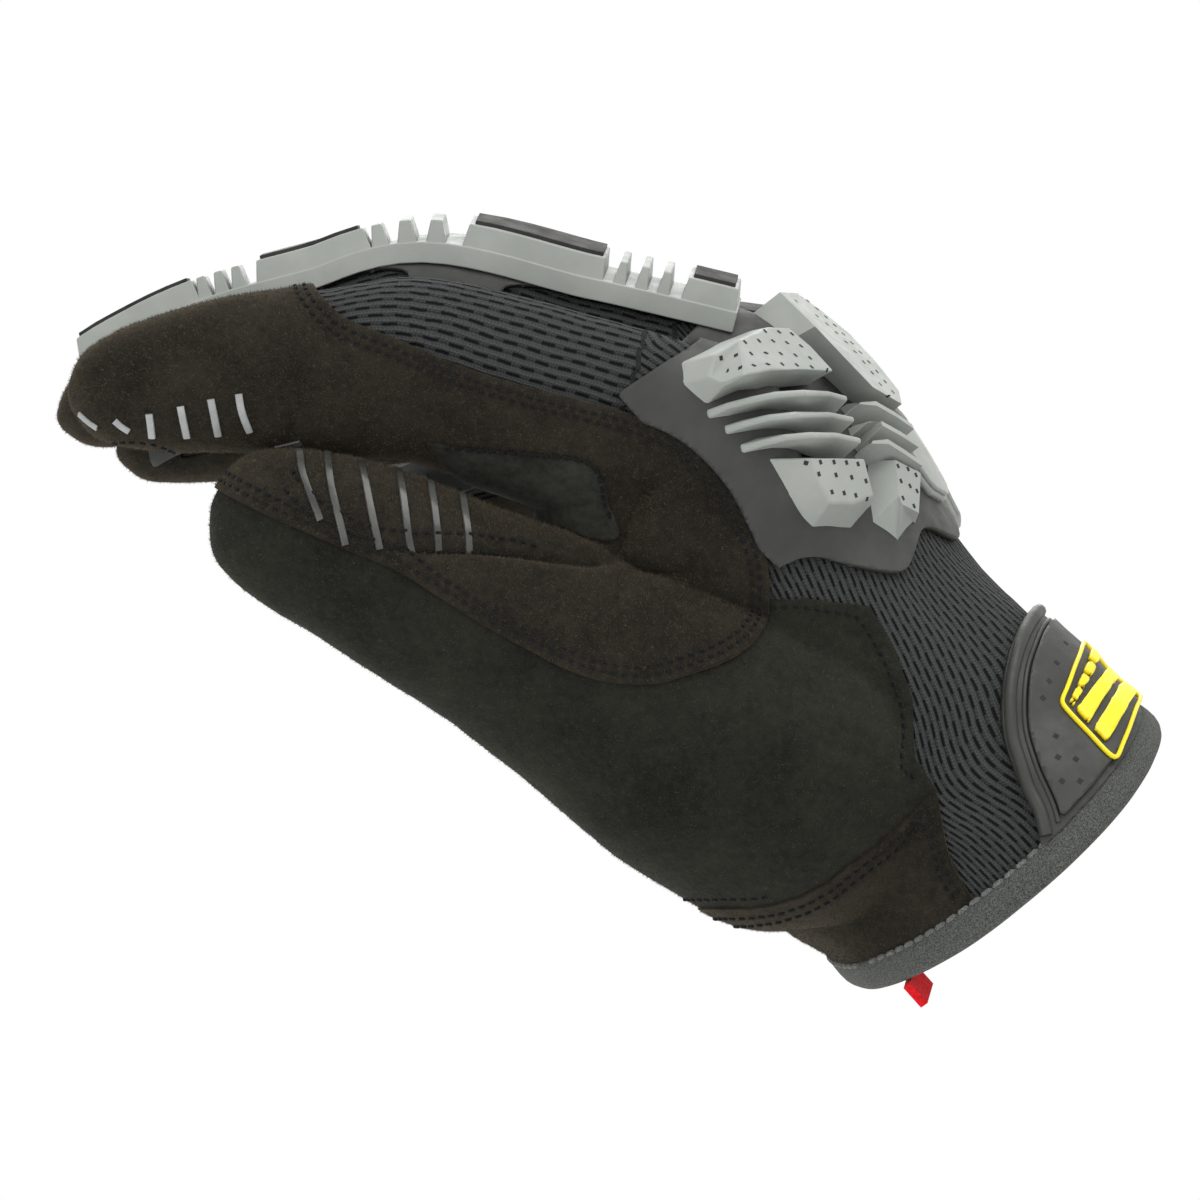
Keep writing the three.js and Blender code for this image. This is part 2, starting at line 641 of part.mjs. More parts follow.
const BADGE_OUTLINE = [
  { along: 0.17, across: -0.2 },
  { along: 0.035, across: -0.24 },
  { along: 0.08, across: 0.02 },
  { along: 0.24, across: 0.03 },
];
const badgeFoot = tabTop - TAB_RIM + GAP;
const badge = layer(badgeFoot, badgeFoot + BADGE_THICK)
  .intersect(overBack(BADGE_OUTLINE, 0))
  .intersect(overBack(TAB_OUTLINE, 0, -RIM_WIDE - GAP));
addPiece("cuff_badge", badge, "badge");

// Red pull tab that stands out of the binding on the palm's side
const PULL = { across: -0.35, wide: 8, long: 5, thick: 1.6 };
const pullAcross = CUFF_AXIS.clone().cross(OUT).normalize();
const pullOut = pullAcross.clone().cross(CUFF_AXIS).normalize();
const rimRow = PALM_SECTIONS[1];
const pullTurn = PULL.across / (rimRow.wide / 2);
const pullDrop = rimRow.rise * PALM_DEPTH - ((rimRow.deep * PALM_DEPTH) / 2) * Math.sqrt(1 - pullTurn ** 2);
const pullRoot = inHand(0, (rimRow.shift + PULL.across) * PALM_WIDTH, pullDrop);
pullRoot.addScaledVector(CUFF_AXIS, GAP - pullRoot.dot(CUFF_AXIS));
const pullCorners = [[-1, -1], [1, -1], [1, 1], [-1, 1]].map(
  ([side, face]) =>
    new THREE.Vector2(
      pullRoot.dot(pullAcross) + (side * PULL.wide) / 2,
      pullRoot.dot(pullOut) + (face * PULL.thick) / 2,
    ),
);
const pullFrom = pullRoot.dot(CUFF_AXIS);
const pullTab = prism(pullCorners, pullAcross, pullOut, CUFF_AXIS, pullFrom, pullFrom + PULL.long);
addPiece("pull_tab", pullTab, "pull");

export default glove;
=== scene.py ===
import math
import bmesh
import bpy
import numpy as np
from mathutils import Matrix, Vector, noise
from mathutils.bvhtree import BVHTree
from mathutils.kdtree import KDTree


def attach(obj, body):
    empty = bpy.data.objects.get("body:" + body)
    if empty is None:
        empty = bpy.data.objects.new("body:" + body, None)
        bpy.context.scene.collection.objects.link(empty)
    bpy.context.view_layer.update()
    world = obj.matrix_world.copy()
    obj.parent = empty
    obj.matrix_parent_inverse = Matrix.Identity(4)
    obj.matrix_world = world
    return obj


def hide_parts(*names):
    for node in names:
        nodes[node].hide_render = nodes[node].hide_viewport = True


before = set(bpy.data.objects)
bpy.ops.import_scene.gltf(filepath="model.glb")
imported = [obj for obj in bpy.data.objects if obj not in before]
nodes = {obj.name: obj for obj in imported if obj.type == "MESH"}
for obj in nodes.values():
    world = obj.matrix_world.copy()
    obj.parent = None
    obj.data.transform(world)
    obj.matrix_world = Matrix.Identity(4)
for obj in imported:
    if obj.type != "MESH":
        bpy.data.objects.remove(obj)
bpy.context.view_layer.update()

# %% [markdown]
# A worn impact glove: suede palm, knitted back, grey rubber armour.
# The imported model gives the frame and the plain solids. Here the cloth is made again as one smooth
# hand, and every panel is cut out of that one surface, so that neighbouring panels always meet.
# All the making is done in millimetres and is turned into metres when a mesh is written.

MM = 0.001
FINGERS = ["index", "middle", "ring", "little", "thumb"]


def unit(rows):
    """Vectors in rows, each made 1 long."""
    return rows / np.maximum(np.linalg.norm(rows, axis=1), 1e-9)[:, None]


def at_lengths(x, run, rows):
    """Points in rows, read off at other lengths along their line."""
    return np.stack([np.interp(x, run, rows[:, k]) for k in range(3)], -1)


def blended(t, a, slope_a, b, slope_b, h=1.0):
    """A smooth curve from a to b with given slopes, at shares t of the way."""
    return ((2 * t**3 - 3 * t**2 + 1) * a + (t**3 - 2 * t**2 + t) * h * slope_a
            + (3 * t**2 - 2 * t**3) * b + (t**3 - t**2) * h * slope_b)


def ring_faces(rings, sides, closed=False):
    """Faces of a tube from its rings of points, with a cap at each end unless it closes."""
    i, j = np.meshgrid(np.arange(rings if closed else rings - 1), np.arange(sides), indexing="ij")
    i2, k = (i + 1) % rings, (j + 1) % sides
    faces = np.stack([i * sides + j, i * sides + k, i2 * sides + k, i2 * sides + j], -1)
    faces = faces.reshape(-1, 4).tolist()
    if not closed:
        faces += [list(range(sides))[::-1], list(range((rings - 1) * sides, rings * sides))]
    return faces


print("nodes in the frame:", len(nodes))

# %% [markdown]
# The hand's own directions: along the palm to the fingers, across it to the little finger, and out
# of its back. A point of the glove is easiest to state in these, so a small turn is made once from
# three angles and used everywhere.

# %% the hand's directions
PALM_LENGTH = 97
PALM_WIDTH = 88
PALM_DEPTH = 66
PALM_SIZE = (PALM_LENGTH, PALM_WIDTH, PALM_DEPTH)
PALM_CLIMB = 52  # the angles are in degrees
BACK_ROLL = 24
SPLAY = 6
CUFF_SLANT = 16
CUFF_TILT = 3


def turned(v, axis, degrees):
    """v turned about an axis, by the right-hand rule."""
    a = math.radians(degrees)
    axis = np.asarray(axis, float)
    return v * math.cos(a) + np.cross(axis, v) * math.sin(a) + axis * axis.dot(v) * (1 - math.cos(a))


def hand_turned(v):
    v = turned(np.asarray(v, float), (1, 0, 0), BACK_ROLL)
    v = turned(v, (0, 0, 1), -SPLAY)
    return turned(v, (0, 1, 0), PALM_CLIMB)


ALONG = hand_turned((-1, 0, 0))
ACROSS = hand_turned((0, 1, 0))
OUT = hand_turned((0, 0, 1))
CUFF_AXIS = turned(turned(-ALONG, OUT, CUFF_SLANT), ACROSS, CUFF_TILT)


def in_hand(along, across, out):
    return along * ALONG + across * ACROSS + out * OUT


print("along", ALONG.round(3), "across", ACROSS.round(3), "out", OUT.round(3))

# %% [markdown]
# Sizes of the hand. The palm is a stack of ovals from the cuff to the knuckles; a digit is a bent
# centre line with ovals round it. They follow the tables of the CAD source, so the cloth lies close
# to its solid. The palm's first three rows are set anew, for the wrist and the heel of the hand.

# %% tables of the palm and the digits
# along, shift, rise, wide, deep, fall: shares of the palm's length, width and depth
PALM_SECTIONS = [
    (-0.16, -0.04, 0.05, 0.80, 1.15, 0.00),
    (0.04, -0.03, 0.01, 0.77, 1.12, 0.00),
    (0.15, -0.02, -0.045, 0.77, 1.15, 0.01),
    (0.30, 0.00, 0.03, 0.80, 0.92, 0.04),
    (0.50, 0.01, 0.10, 0.88, 0.68, 0.08),
    (0.75, 0.01, 0.20, 0.97, 0.56, 0.14),
    (0.95, 0.00, 0.22, 1.00, 0.50, 0.18),
    (1.07, 0.00, 0.20, 0.96, 0.40, 0.18),
    (1.14, 0.00, 0.17, 0.86, 0.24, 0.16),
]
BONE_ENDS = (0.44, 0.73, 1.0)
# share of the length, width, thickness
FINGER_SECTIONS = [(-0.22, 0.6, 0.5), (0, 1, 1.18), (0.3, 1, 1.14), (0.44, 1, 1.08), (0.73, 0.92, 0.86),
                   (0.85, 0.86, 0.74), (0.93, 0.72, 0.58), (0.975, 0.5, 0.4), (1.0, 0.1, 0.08)]
WEB_SECTIONS = [(-0.3, 0.7, 0.7), (0.3, 1, 1), (0.75, 0.85, 0.85), (1, 0.55, 0.5)]
THUMB_SECTIONS = [(-0.3, 0.6, 0.6), (-0.12, 1.3, 1.35), (0.08, 1.35, 1.42), (0.3, 1.15, 1.22),
                  (0.5, 1, 1.03), (0.68, 0.9, 0.92), (0.84, 0.8, 0.78), (0.93, 0.64, 0.62),
                  (0.98, 0.42, 0.4), (1.0, 0.1, 0.1)]
# root as shares of the palm; length, width and thickness; climb of the three bones; swing to the side
DIGIT_ROWS = {
    "index": ((0.96, -0.375, 0.23), 116, 23.5, 31, (16, -2, -8), -1),
    "middle": ((1.01, -0.11, 0.27), 131, 22.5, 26, (14, -11, -18), 1),
    "ring": ((0.95, 0.15, 0.19), 129, 22, 25, (8, -10, -12), 2.5),
    "little": ((0.86, 0.385, 0.08), 98, 19.5, 22, (3, -15, -22), 5),
    "web": ((0.62, -0.3, 0.02), 44, 30, 52, (42, 42, 42), -4),
    "thumb": ((0.4, -0.4, -0.22), 112, 33, 38, (30, 27, 22), -7),
}
DIGITS = {name: dict(zip(("root", "length", "wide", "thick", "bend", "swing"), row))
          for name, row in DIGIT_ROWS.items()}
DIGITS["web"].update(straight=True, table=WEB_SECTIONS)
DIGITS["thumb"].update(straight=True, table=THUMB_SECTIONS)
print(len(DIGITS), "digits and webs")

# %% [markdown]
# A finger's bones are straight, and its joints are rounded by a curve through the bone ends and the
# middles of the bones. The curve is sampled by length, so a share of the finger means the same
# length everywhere on it.

# %% centre lines of the digits


def curve_through(points, steps=24):
    """A smooth curve through points: the centripetal Catmull-Rom kind, as many steps between each two."""
    p = np.asarray(points, float)
    p = np.vstack([2 * p[0] - p[1], p, 2 * p[-1] - p[-2]])
    out = []
    for a, b, c, d in zip(p, p[1:], p[2:], p[3:]):
        ab, bc, cd = (math.sqrt(max(np.linalg.norm(q - r), 1e-6)) for q, r in ((b, a), (c, b), (d, c)))
        start = ((b - a) / ab - (c - a) / (ab + bc) + (c - b) / bc) * bc
        end = ((c - b) / bc - (d - b) / (bc + cd) + (d - c) / cd) * bc
        t = np.linspace(0, 1, steps, endpoint=False)[:, None]
        out.append(blended(t, b, start, c, end))
    return np.vstack(out + [p[-2:-1]])


def lengths_along(points):
    return np.concatenate([[0], np.cumsum(np.linalg.norm(np.diff(points, axis=0), axis=1))])


def centre_line(digit):
    """The digit's curve and the length reached at each of its points."""
    swing = math.radians(digit["swing"])
    at = in_hand(*(share * size for share, size in zip(digit["root"], PALM_SIZE)))
    points, done = [], 0
    for pitch, bone_end in zip(digit["bend"], BONE_ENDS):
        p = math.radians(pitch)
        heading = np.array([-math.cos(p) * math.cos(swing), math.sin(swing),
                            math.sin(p) * math.cos(swing)])
        bone = heading * (bone_end - done) * digit["length"]
        points += [at, at + bone / 2]
        at = at + bone
        done = bone_end
    line = curve_through(points + [at])
    return line, lengths_along(line)


def digit_frame(name, shares):
    """Centres and the ways along, across and out of the back of a digit, at shares of its length."""
    digit = DIGITS[name]
    if "line" not in digit:
        digit["line"], digit["run"] = centre_line(digit)
    line, run = digit["line"], digit["run"]
    shares = np.atleast_1d(np.asarray(shares, float))
    ways = np.gradient(line, run, axis=0)
    reach = np.clip(shares, 0, 1) * run[-1]
    centre, along = at_lengths(reach, run, line), at_lengths(reach, run, ways)
    back = ways[0] if digit.get("straight") else ALONG
    behind = shares < 0
    along[behind] = back
    centre[behind] = line[0] + back * (shares[behind] * digit["length"])[:, None]
    along = unit(along)
    across = unit(ACROSS - along * (along @ ACROSS)[:, None])
    return centre, along, across, np.cross(across, along)


for name in DIGITS:
    tip = digit_frame(name, 1)[0][0]
    print(name, "tip at", tip.round(1))

# %% [markdown]
# The smooth hand. Each part is a closed tube of ovals, and the tubes overlap. A voxel remesh
# makes one skin of them, as a hand has one skin, and a little smoothing rounds the creases where
# they meet. Sculpting would do it as well, but a table of ovals can be measured and changed.

# %% tubes of ovals


def smooth_rows(table, shares):
    """The table's columns at other shares, along smooth curves that don't overshoot much."""
    table = np.asarray(table, float)
    x = table[:, 0]
    slopes = np.diff(table[:, 1:], axis=0) / np.diff(x)[:, None]
    m = np.vstack([slopes[:1], (slopes[1:] + slopes[:-1]) / 2, slopes[-1:]])
    flat = np.zeros_like(m, bool)
    flat[1:-1] = slopes[1:] * slopes[:-1] <= 0
    m[flat] = 0
    k = np.clip(np.searchsorted(x, shares) - 1, 0, len(x) - 2)
    h = (x[k + 1] - x[k])[:, None]
    t = ((shares - x[k]) / h[:, 0])[:, None]
    return blended(t, table[k, 1:], m[k], table[k + 1, 1:], m[k + 1], h)


def tube(centre, across, out, half_wide, half_thick, fall, sides=64):
    """Points and faces of a closed tube through oval rings."""
    turn = np.linspace(0, 2 * math.pi, sides, endpoint=False)
    side, up = np.cos(turn), np.sin(turn)
    rise = half_thick[:, None] * up - fall[:, None] * np.maximum(side, 0) ** 2
    points = (centre[:, None] + across[:, None] * (half_wide[:, None] * side)[..., None]
              + out[:, None] * rise[..., None])
    return points.reshape(-1, 3), ring_faces(len(centre), sides)


def palm_tube():
    shares = np.linspace(PALM_SECTIONS[0][0], PALM_SECTIONS[-1][0], 70)
    shift, rise, wide, deep, fall = smooth_rows(PALM_SECTIONS, shares).T
    centre = (np.outer(shares * PALM_LENGTH, ALONG) + np.outer(shift * PALM_WIDTH, ACROSS)
              + np.outer(rise * PALM_DEPTH, OUT))
    n = len(shares)
    return tube(centre, np.tile(ACROSS, (n, 1)), np.tile(OUT, (n, 1)),
                wide * PALM_WIDTH / 2, deep * PALM_DEPTH / 2, fall * PALM_DEPTH, 96)


def digit_tube(name):
    digit = DIGITS[name]
    table = digit.get("table", FINGER_SECTIONS)
    shares = np.linspace(table[0][0], table[-1][0], 110)
    wide, thick = smooth_rows(table, shares).T
    centre, _, across, out = digit_frame(name, shares)
    return tube(centre, across, out, np.maximum(wide * digit["wide"] / 2, 0.3),
                np.maximum(thick * digit["thick"] / 2, 0.3), np.zeros(len(shares)))


print("palm tube:", len(palm_tube()[0]), "points")

# %% one skin from the tubes


def mesh_from(name, points, faces):
    mesh = bpy.data.meshes.new(name)
    faces = faces if isinstance(faces, list) else faces.tolist()
    mesh.from_pydata((np.asarray(points) * MM).tolist(), [], faces)
    mesh.update()
    return mesh


def new_object(name, mesh):
    made = bpy.data.objects.new(name, mesh)
    bpy.context.scene.collection.objects.link(made)
    return made


def modifier(made, kind, **settings):
    added = made.modifiers.new(kind.lower(), kind)
    for key, value in settings.items():
        setattr(added, key, value)


def applied(made):
    """The object's mesh with its modifiers worked in, and the object removed."""
    graph = bpy.context.evaluated_depsgraph_get()
    mesh = bpy.data.meshes.new_from_object(made.evaluated_get(graph))
    bpy.data.objects.remove(made)
    return mesh


def skin(tubes, voxel, rounds):
    """Points, triangles and normals of one smooth skin round overlapping tubes."""
    points, faces, at = [], [], 0
    for p, f in tubes:
        points.append(p)
        faces += [[v + at for v in face] for face in f]
        at += len(p)
    made = new_object("skin", mesh_from("skin", np.vstack(points), faces))
    modifier(made, "REMESH", mode="VOXEL", voxel_size=voxel * MM)
    modifier(made, "SMOOTH", factor=0.5, iterations=rounds)
    return arrays_of(applied(made))


def arrays_of(mesh):
    mesh.calc_loop_triangles()
    p = np.empty(len(mesh.vertices) * 3)
    mesh.vertices.foreach_get("co", p)
    t = np.empty(len(mesh.loop_triangles) * 3, np.int32)
    mesh.loop_triangles.foreach_get("vertices", t)
    return p.reshape(-1, 3) / MM, t.reshape(-1, 3)


def normals_of(p, t):
    n = np.zeros_like(p)
    face = np.cross(p[t[:, 1]] - p[t[:, 0]], p[t[:, 2]] - p[t[:, 0]])
    for k in range(3):
        np.add.at(n, t[:, k], face)
    return unit(n)


VOXEL = 1.0
hand_p, hand_t = skin([palm_tube()] + [digit_tube(name) for name in DIGITS], VOXEL, 5)
hand_n = normals_of(hand_p, hand_t)
print("hand skin:", len(hand_p), "points,", len(hand_t), "triangles")

# %% [markdown]
# Where is a point of the skin? A panel's outline, a knit rib or a crease is stated either in the
# hand's directions, along and round one finger, or in the plane that the viewer of the glove sees.
# So these three sets of coordinates are worked out once for every point of the skin.

# %% coordinates on the skin
VIEW_DISTANCE = 900  # from the viewer to the middle of the glove
VIEW_CENTRE = (-76, 47.5)  # to the right and up
DRAWING_UNIT = 0.19  # outlines are drawn on a sheet of 1200 x 1200 squares of this size
SHEET_CENTRE = 600


def on_sheet(p):
    """Points as the viewer sees them, in squares of the sheet: to the right, and down."""
    near = VIEW_DISTANCE / (VIEW_DISTANCE + p[:, 1]) / DRAWING_UNIT
    return np.stack([SHEET_CENTRE + (p[:, 0] - VIEW_CENTRE[0]) * near,
                     SHEET_CENTRE - (p[:, 2] - VIEW_CENTRE[1]) * near], 1)


def palm_places(p):
    """Shares of the palm's length, width and depth."""
    return np.stack([p @ ALONG / PALM_LENGTH, p @ ACROSS / PALM_WIDTH, p @ OUT / PALM_DEPTH], 1)


def digit_places(name, p):
    """Along a digit as a share, and across and out of its centre line, in mm."""
    shares = np.linspace(-0.25, 1, 126)
    centre, along, across, out = digit_frame(name, shares)
    nearest = np.empty(len(p), int)
    for part in range(0, len(p), 20000):
        block = p[part:part + 20000]
        nearest[part:part + 20000] = ((block[:, None] - centre[None]) ** 2).sum(-1).argmin(1)
    off = p - centre[nearest]
    ahead = (off * along[nearest]).sum(1)
    share = shares[nearest] + ahead / DIGITS[name]["length"]
    return np.stack([share, (off * across[nearest]).sum(1), (off * out[nearest]).sum(1)], 1)


FINGER_START = [0.12, 0.1, 0.1, 0.14, 0.3]  # shares of the digits' lengths where the hand ends


class Places:
    """Everything about where points of the skin are."""

    def __init__(self, p, n):
        self.p, self.n = p, n
        self.sheet = on_sheet(p)
        self.palm = palm_places(p)
        self.digits = {name: digit_places(name, p) for name in DIGITS}
        spread = np.stack([np.hypot(self.digits[f][:, 1] / DIGITS[f]["wide"],
                                    self.digits[f][:, 2] / DIGITS[f]["thick"]) for f in FINGERS])
        self.finger = spread.argmin(0)
        self.share, self.off, self.lift = (
            np.choose(self.finger, [self.digits[f][:, k] for f in FINGERS]) for k in range(3))
        start = np.choose(self.finger, FINGER_START)
        self.on_finger = (self.share > start) & (spread.min(0) < 1.0)
        self.length, self.wide, self.thick = (
            np.choose(self.finger, [DIGITS[f][key] for f in FINGERS])
            for key in ("length", "wide", "thick"))


at = Places(hand_p, hand_n)
print("points on fingers:", int(at.on_finger.sum()), "of", len(hand_p))

# %% [markdown]
# Worn cloth isn't smooth. A crease is a line drawn on the sheet, and the skin sinks along it; a
# fold rises. The lines are short tables, and a soft unevenness is added over everything. This is
# done to the one skin before any panel is cut, so the panels crease together.

# %% creases and folds


def far_from_line(xy, line):
    """Distance on the sheet from points to a line, in mm, and the share of the line reached there."""
    best = np.full(len(xy), 1e9)
    share = np.zeros(len(xy))
    line = np.asarray(line, float)
    run = lengths_along(line)
    for a, b, s, e in zip(line, line[1:], run, run[1:]):
        ab = b - a
        t = np.clip(((xy - a) @ ab) / (ab @ ab), 0, 1)
        d = np.linalg.norm(xy - a - t[:, None] * ab, axis=1)
        closer = d < best
        best[closer] = d[closer]
        share[closer] = ((s + (e - s) * t) / run[-1])[closer]
    return best * DRAWING_UNIT, share


def eased(line, steps=8):
    """A line on the sheet through a few points, made smooth."""
    flat = np.asarray(line, float)
    return curve_through(np.c_[flat, np.zeros(len(flat))], steps)[:, :2]


# depth in mm (minus rises), width in mm, and the line on the sheet
CREASES = [
    (2.6, 2.2, [(622, 562), (600, 566), (560, 562), (520, 556), (480, 553), (430, 552), (390, 548)]),
    (1.6, 3.0, [(622, 560), (628, 530), (640, 500), (662, 482)]),
    (1.2, 2.4, [(622, 564), (640, 572), (668, 574), (690, 570)]),
    (1.0, 2.6, [(620, 568), (618, 590), (612, 620), (606, 642)]),
    (-1.2, 4.0, [(650, 570), (648, 540), (660, 515), (680, 500)]),
    (1.1, 2.5, [(292, 436), (292, 420), (298, 405)]),
    (0.8, 3.0, [(372, 438), (362, 420), (350, 404)]),
    (0.7, 4.0, [(240, 445), (262, 470), (300, 492)]),
    (0.7, 6.0, [(905, 540), (930, 590), (985, 640), (1012, 660)]),
    (-0.6, 7.0, [(870, 560), (890, 600), (940, 660), (985, 720)]),
    (0.8, 5.0, [(940, 800), (985, 800), (1040, 790)]),
    (0.6, 4.0, [(905, 880), (950, 865), (1000, 850)]),
]


def lumps(p, size, seed):
    """A soft unevenness between -1 and 1, the same each run."""
    shift = Vector((seed * 17.3, seed * 5.1, seed * 9.7))
    return np.array([noise.noise(Vector(q) / size + shift) for q in p])


facing = np.clip(-hand_n[:, 1] * 2.5, 0, 1) * (hand_p[:, 1] < 2)
sink = np.zeros(len(hand_p))
for depth, width, line in CREASES:
    away, share = far_from_line(at.sheet, eased(line))
    fade = np.minimum(1, np.minimum(share, 1 - share) * 5 + 0.15)
    sink += depth * fade * np.exp(-((away / width * 1.6) ** 2)) * facing
sink += 0.35 * lumps(hand_p, 14, 1) + 0.16 * lumps(hand_p, 5, 2)
hand_p = hand_p - hand_n * sink[:, None]
hand_n = normals_of(hand_p, hand_t)
at = Places(hand_p, hand_n)
print("deepest crease:", round(float(sink.max()), 2), "mm")

# %% [markdown]
# Cutting a panel. A number is given to each point of the skin: how far inside the panel's edge it
# lies, in mm, and below 0 outside. Each triangle is then trimmed where that number crosses 0, which
# gives a clean edge that doesn't follow the voxels. A boolean would do it too, but is slow and
# fragile on a dense mesh.

# %% cutting panels out of the skin


def trimmed(p, t, field, extra):
    """The part of a triangle mesh where the field is above 0, with per-point values carried along."""
    inside = field > 0
    whole = inside[t].all(1)
    mixed = inside[t].any(1) & ~whole
    new_points, new_extra, cuts, faces = [], [], {}, []

    def cut(a, b):
        key = (a, b) if a < b else (b, a)
        if key not in cuts:
            s = field[key[0]] / (field[key[0]] - field[key[1]])
            s = min(max(s, 0.001), 0.999)
            cuts[key] = len(p) + len(new_points)
            new_points.append(p[key[0]] + (p[key[1]] - p[key[0]]) * s)
            new_extra.append(extra[key[0]] + (extra[key[1]] - extra[key[0]]) * s)
        return cuts[key]

    for tri in t[mixed].tolist():
        kept = []
        for k in range(3):
            a, b = tri[k], tri[(k + 1) % 3]
            if inside[a]:
                kept.append(a)
            if inside[a] != inside[b]:
                kept.append(cut(a, b))
        faces.append(kept[:3])
        if len(kept) == 4:
            faces.append([kept[0], kept[2], kept[3]])
    all_p = np.vstack([p] + ([np.array(new_points)] if new_points else []))
    all_e = np.vstack([extra] + ([np.array(new_extra)] if new_extra else []))
    tris = np.vstack([t[whole]] + ([np.array(faces)] if faces else []))
    used, tris = np.unique(tris, return_inverse=True)
    return all_p[used], tris.reshape(-1, 3), all_e[used]


def edge_lines(p, t, field, n, least=8):
    """The lines on a mesh where a field is 0: points and normals in order, and if it is closed."""
    crossing = ((field[t] > 0).any(1)) & ((field[t] <= 0).any(1))
    where, links = {}, {}
    for tri in t[crossing].tolist():
        ends = []
        for k in range(3):
            a, b = sorted((tri[k], tri[(k + 1) % 3]))
            if (field[a] > 0) != (field[b] > 0):
                if (a, b) not in where:
                    s = field[a] / (field[a] - field[b])
                    where[a, b] = (p[a] + (p[b] - p[a]) * s, n[a] + (n[b] - n[a]) * s)
                ends.append((a, b))
        links.setdefault(ends[0], []).append(ends[1])
        links.setdefault(ends[1], []).append(ends[0])
    lines, seen = [], set()
    starts = [k for k, v in links.items() if len(v) == 1] + list(links)
    for start in starts:
        if start in seen:
            continue
        chain = [start]
        seen.add(start)
        while True:
            ahead = [k for k in links[chain[-1]] if k not in seen]
            if not ahead:
                break
            chain.append(ahead[0])
            seen.add(ahead[0])
        closed = len(chain) > 2 and chain[0] in links[chain[-1]]
        if len(chain) >= least:
            points = np.array([where[k][0] for k in chain])
            ways = np.array([where[k][1] for k in chain])
            lines.append((points, unit(ways), closed))
    return lines


def inside_outline(xy, outline):
    """How far points on a plane lie inside a closed outline, in its own units; below 0 outside."""
    outline = np.asarray(outline, float)
    best = np.full(len(xy), 1e9)
    odd = np.zeros(len(xy), bool)
    for a, b in zip(outline, np.roll(outline, -1, axis=0)):
        ab = b - a
        t = np.clip(((xy - a) @ ab) / max(ab @ ab, 1e-9), 0, 1)
        best = np.minimum(best, np.linalg.norm(xy - a - t[:, None] * ab, axis=1))
        crosses = (a[1] > xy[:, 1]) != (b[1] > xy[:, 1])
        with np.errstate(divide="ignore", invalid="ignore"):
            x = a[0] + (xy[:, 1] - a[1]) * ab[0] / ab[1]
        odd ^= crosses & (xy[:, 0] < x)
    return np.where(odd, best, -best)


def eased_loop(outline, steps=6):
    """A closed outline through a few points, made smooth."""
    flat = np.asarray(outline, float)
    wrapped = np.vstack([flat[-2:], flat, flat[:3]])
    fine = curve_through(np.c_[wrapped, np.zeros(len(wrapped))], steps)[:, :2]
    return fine[2 * steps:(2 + len(flat)) * steps]


def overlap(*fields):
    """Inside every one of several fields."""
    return np.minimum.reduce(fields)


def drawn_area(outline):
    """How far points of the skin lie inside a smooth loop drawn on the sheet, in mm."""
    return inside_outline(at.sheet, eased_loop(outline)) * DRAWING_UNIT


def skin_lines(field, least=8):
    return edge_lines(hand_p, hand_t, field, hand_n, least)


print("cutting tools ready")

# %% [markdown]
# Finishes. Each is made from noise and waves, with no pictures, and is placed either by the
# object's own coordinates or by the two lengths stored on the cloth: along the ribs, and across
# them. A number that is the same all over a finish is set on the shader itself.

# %% finishes: helpers


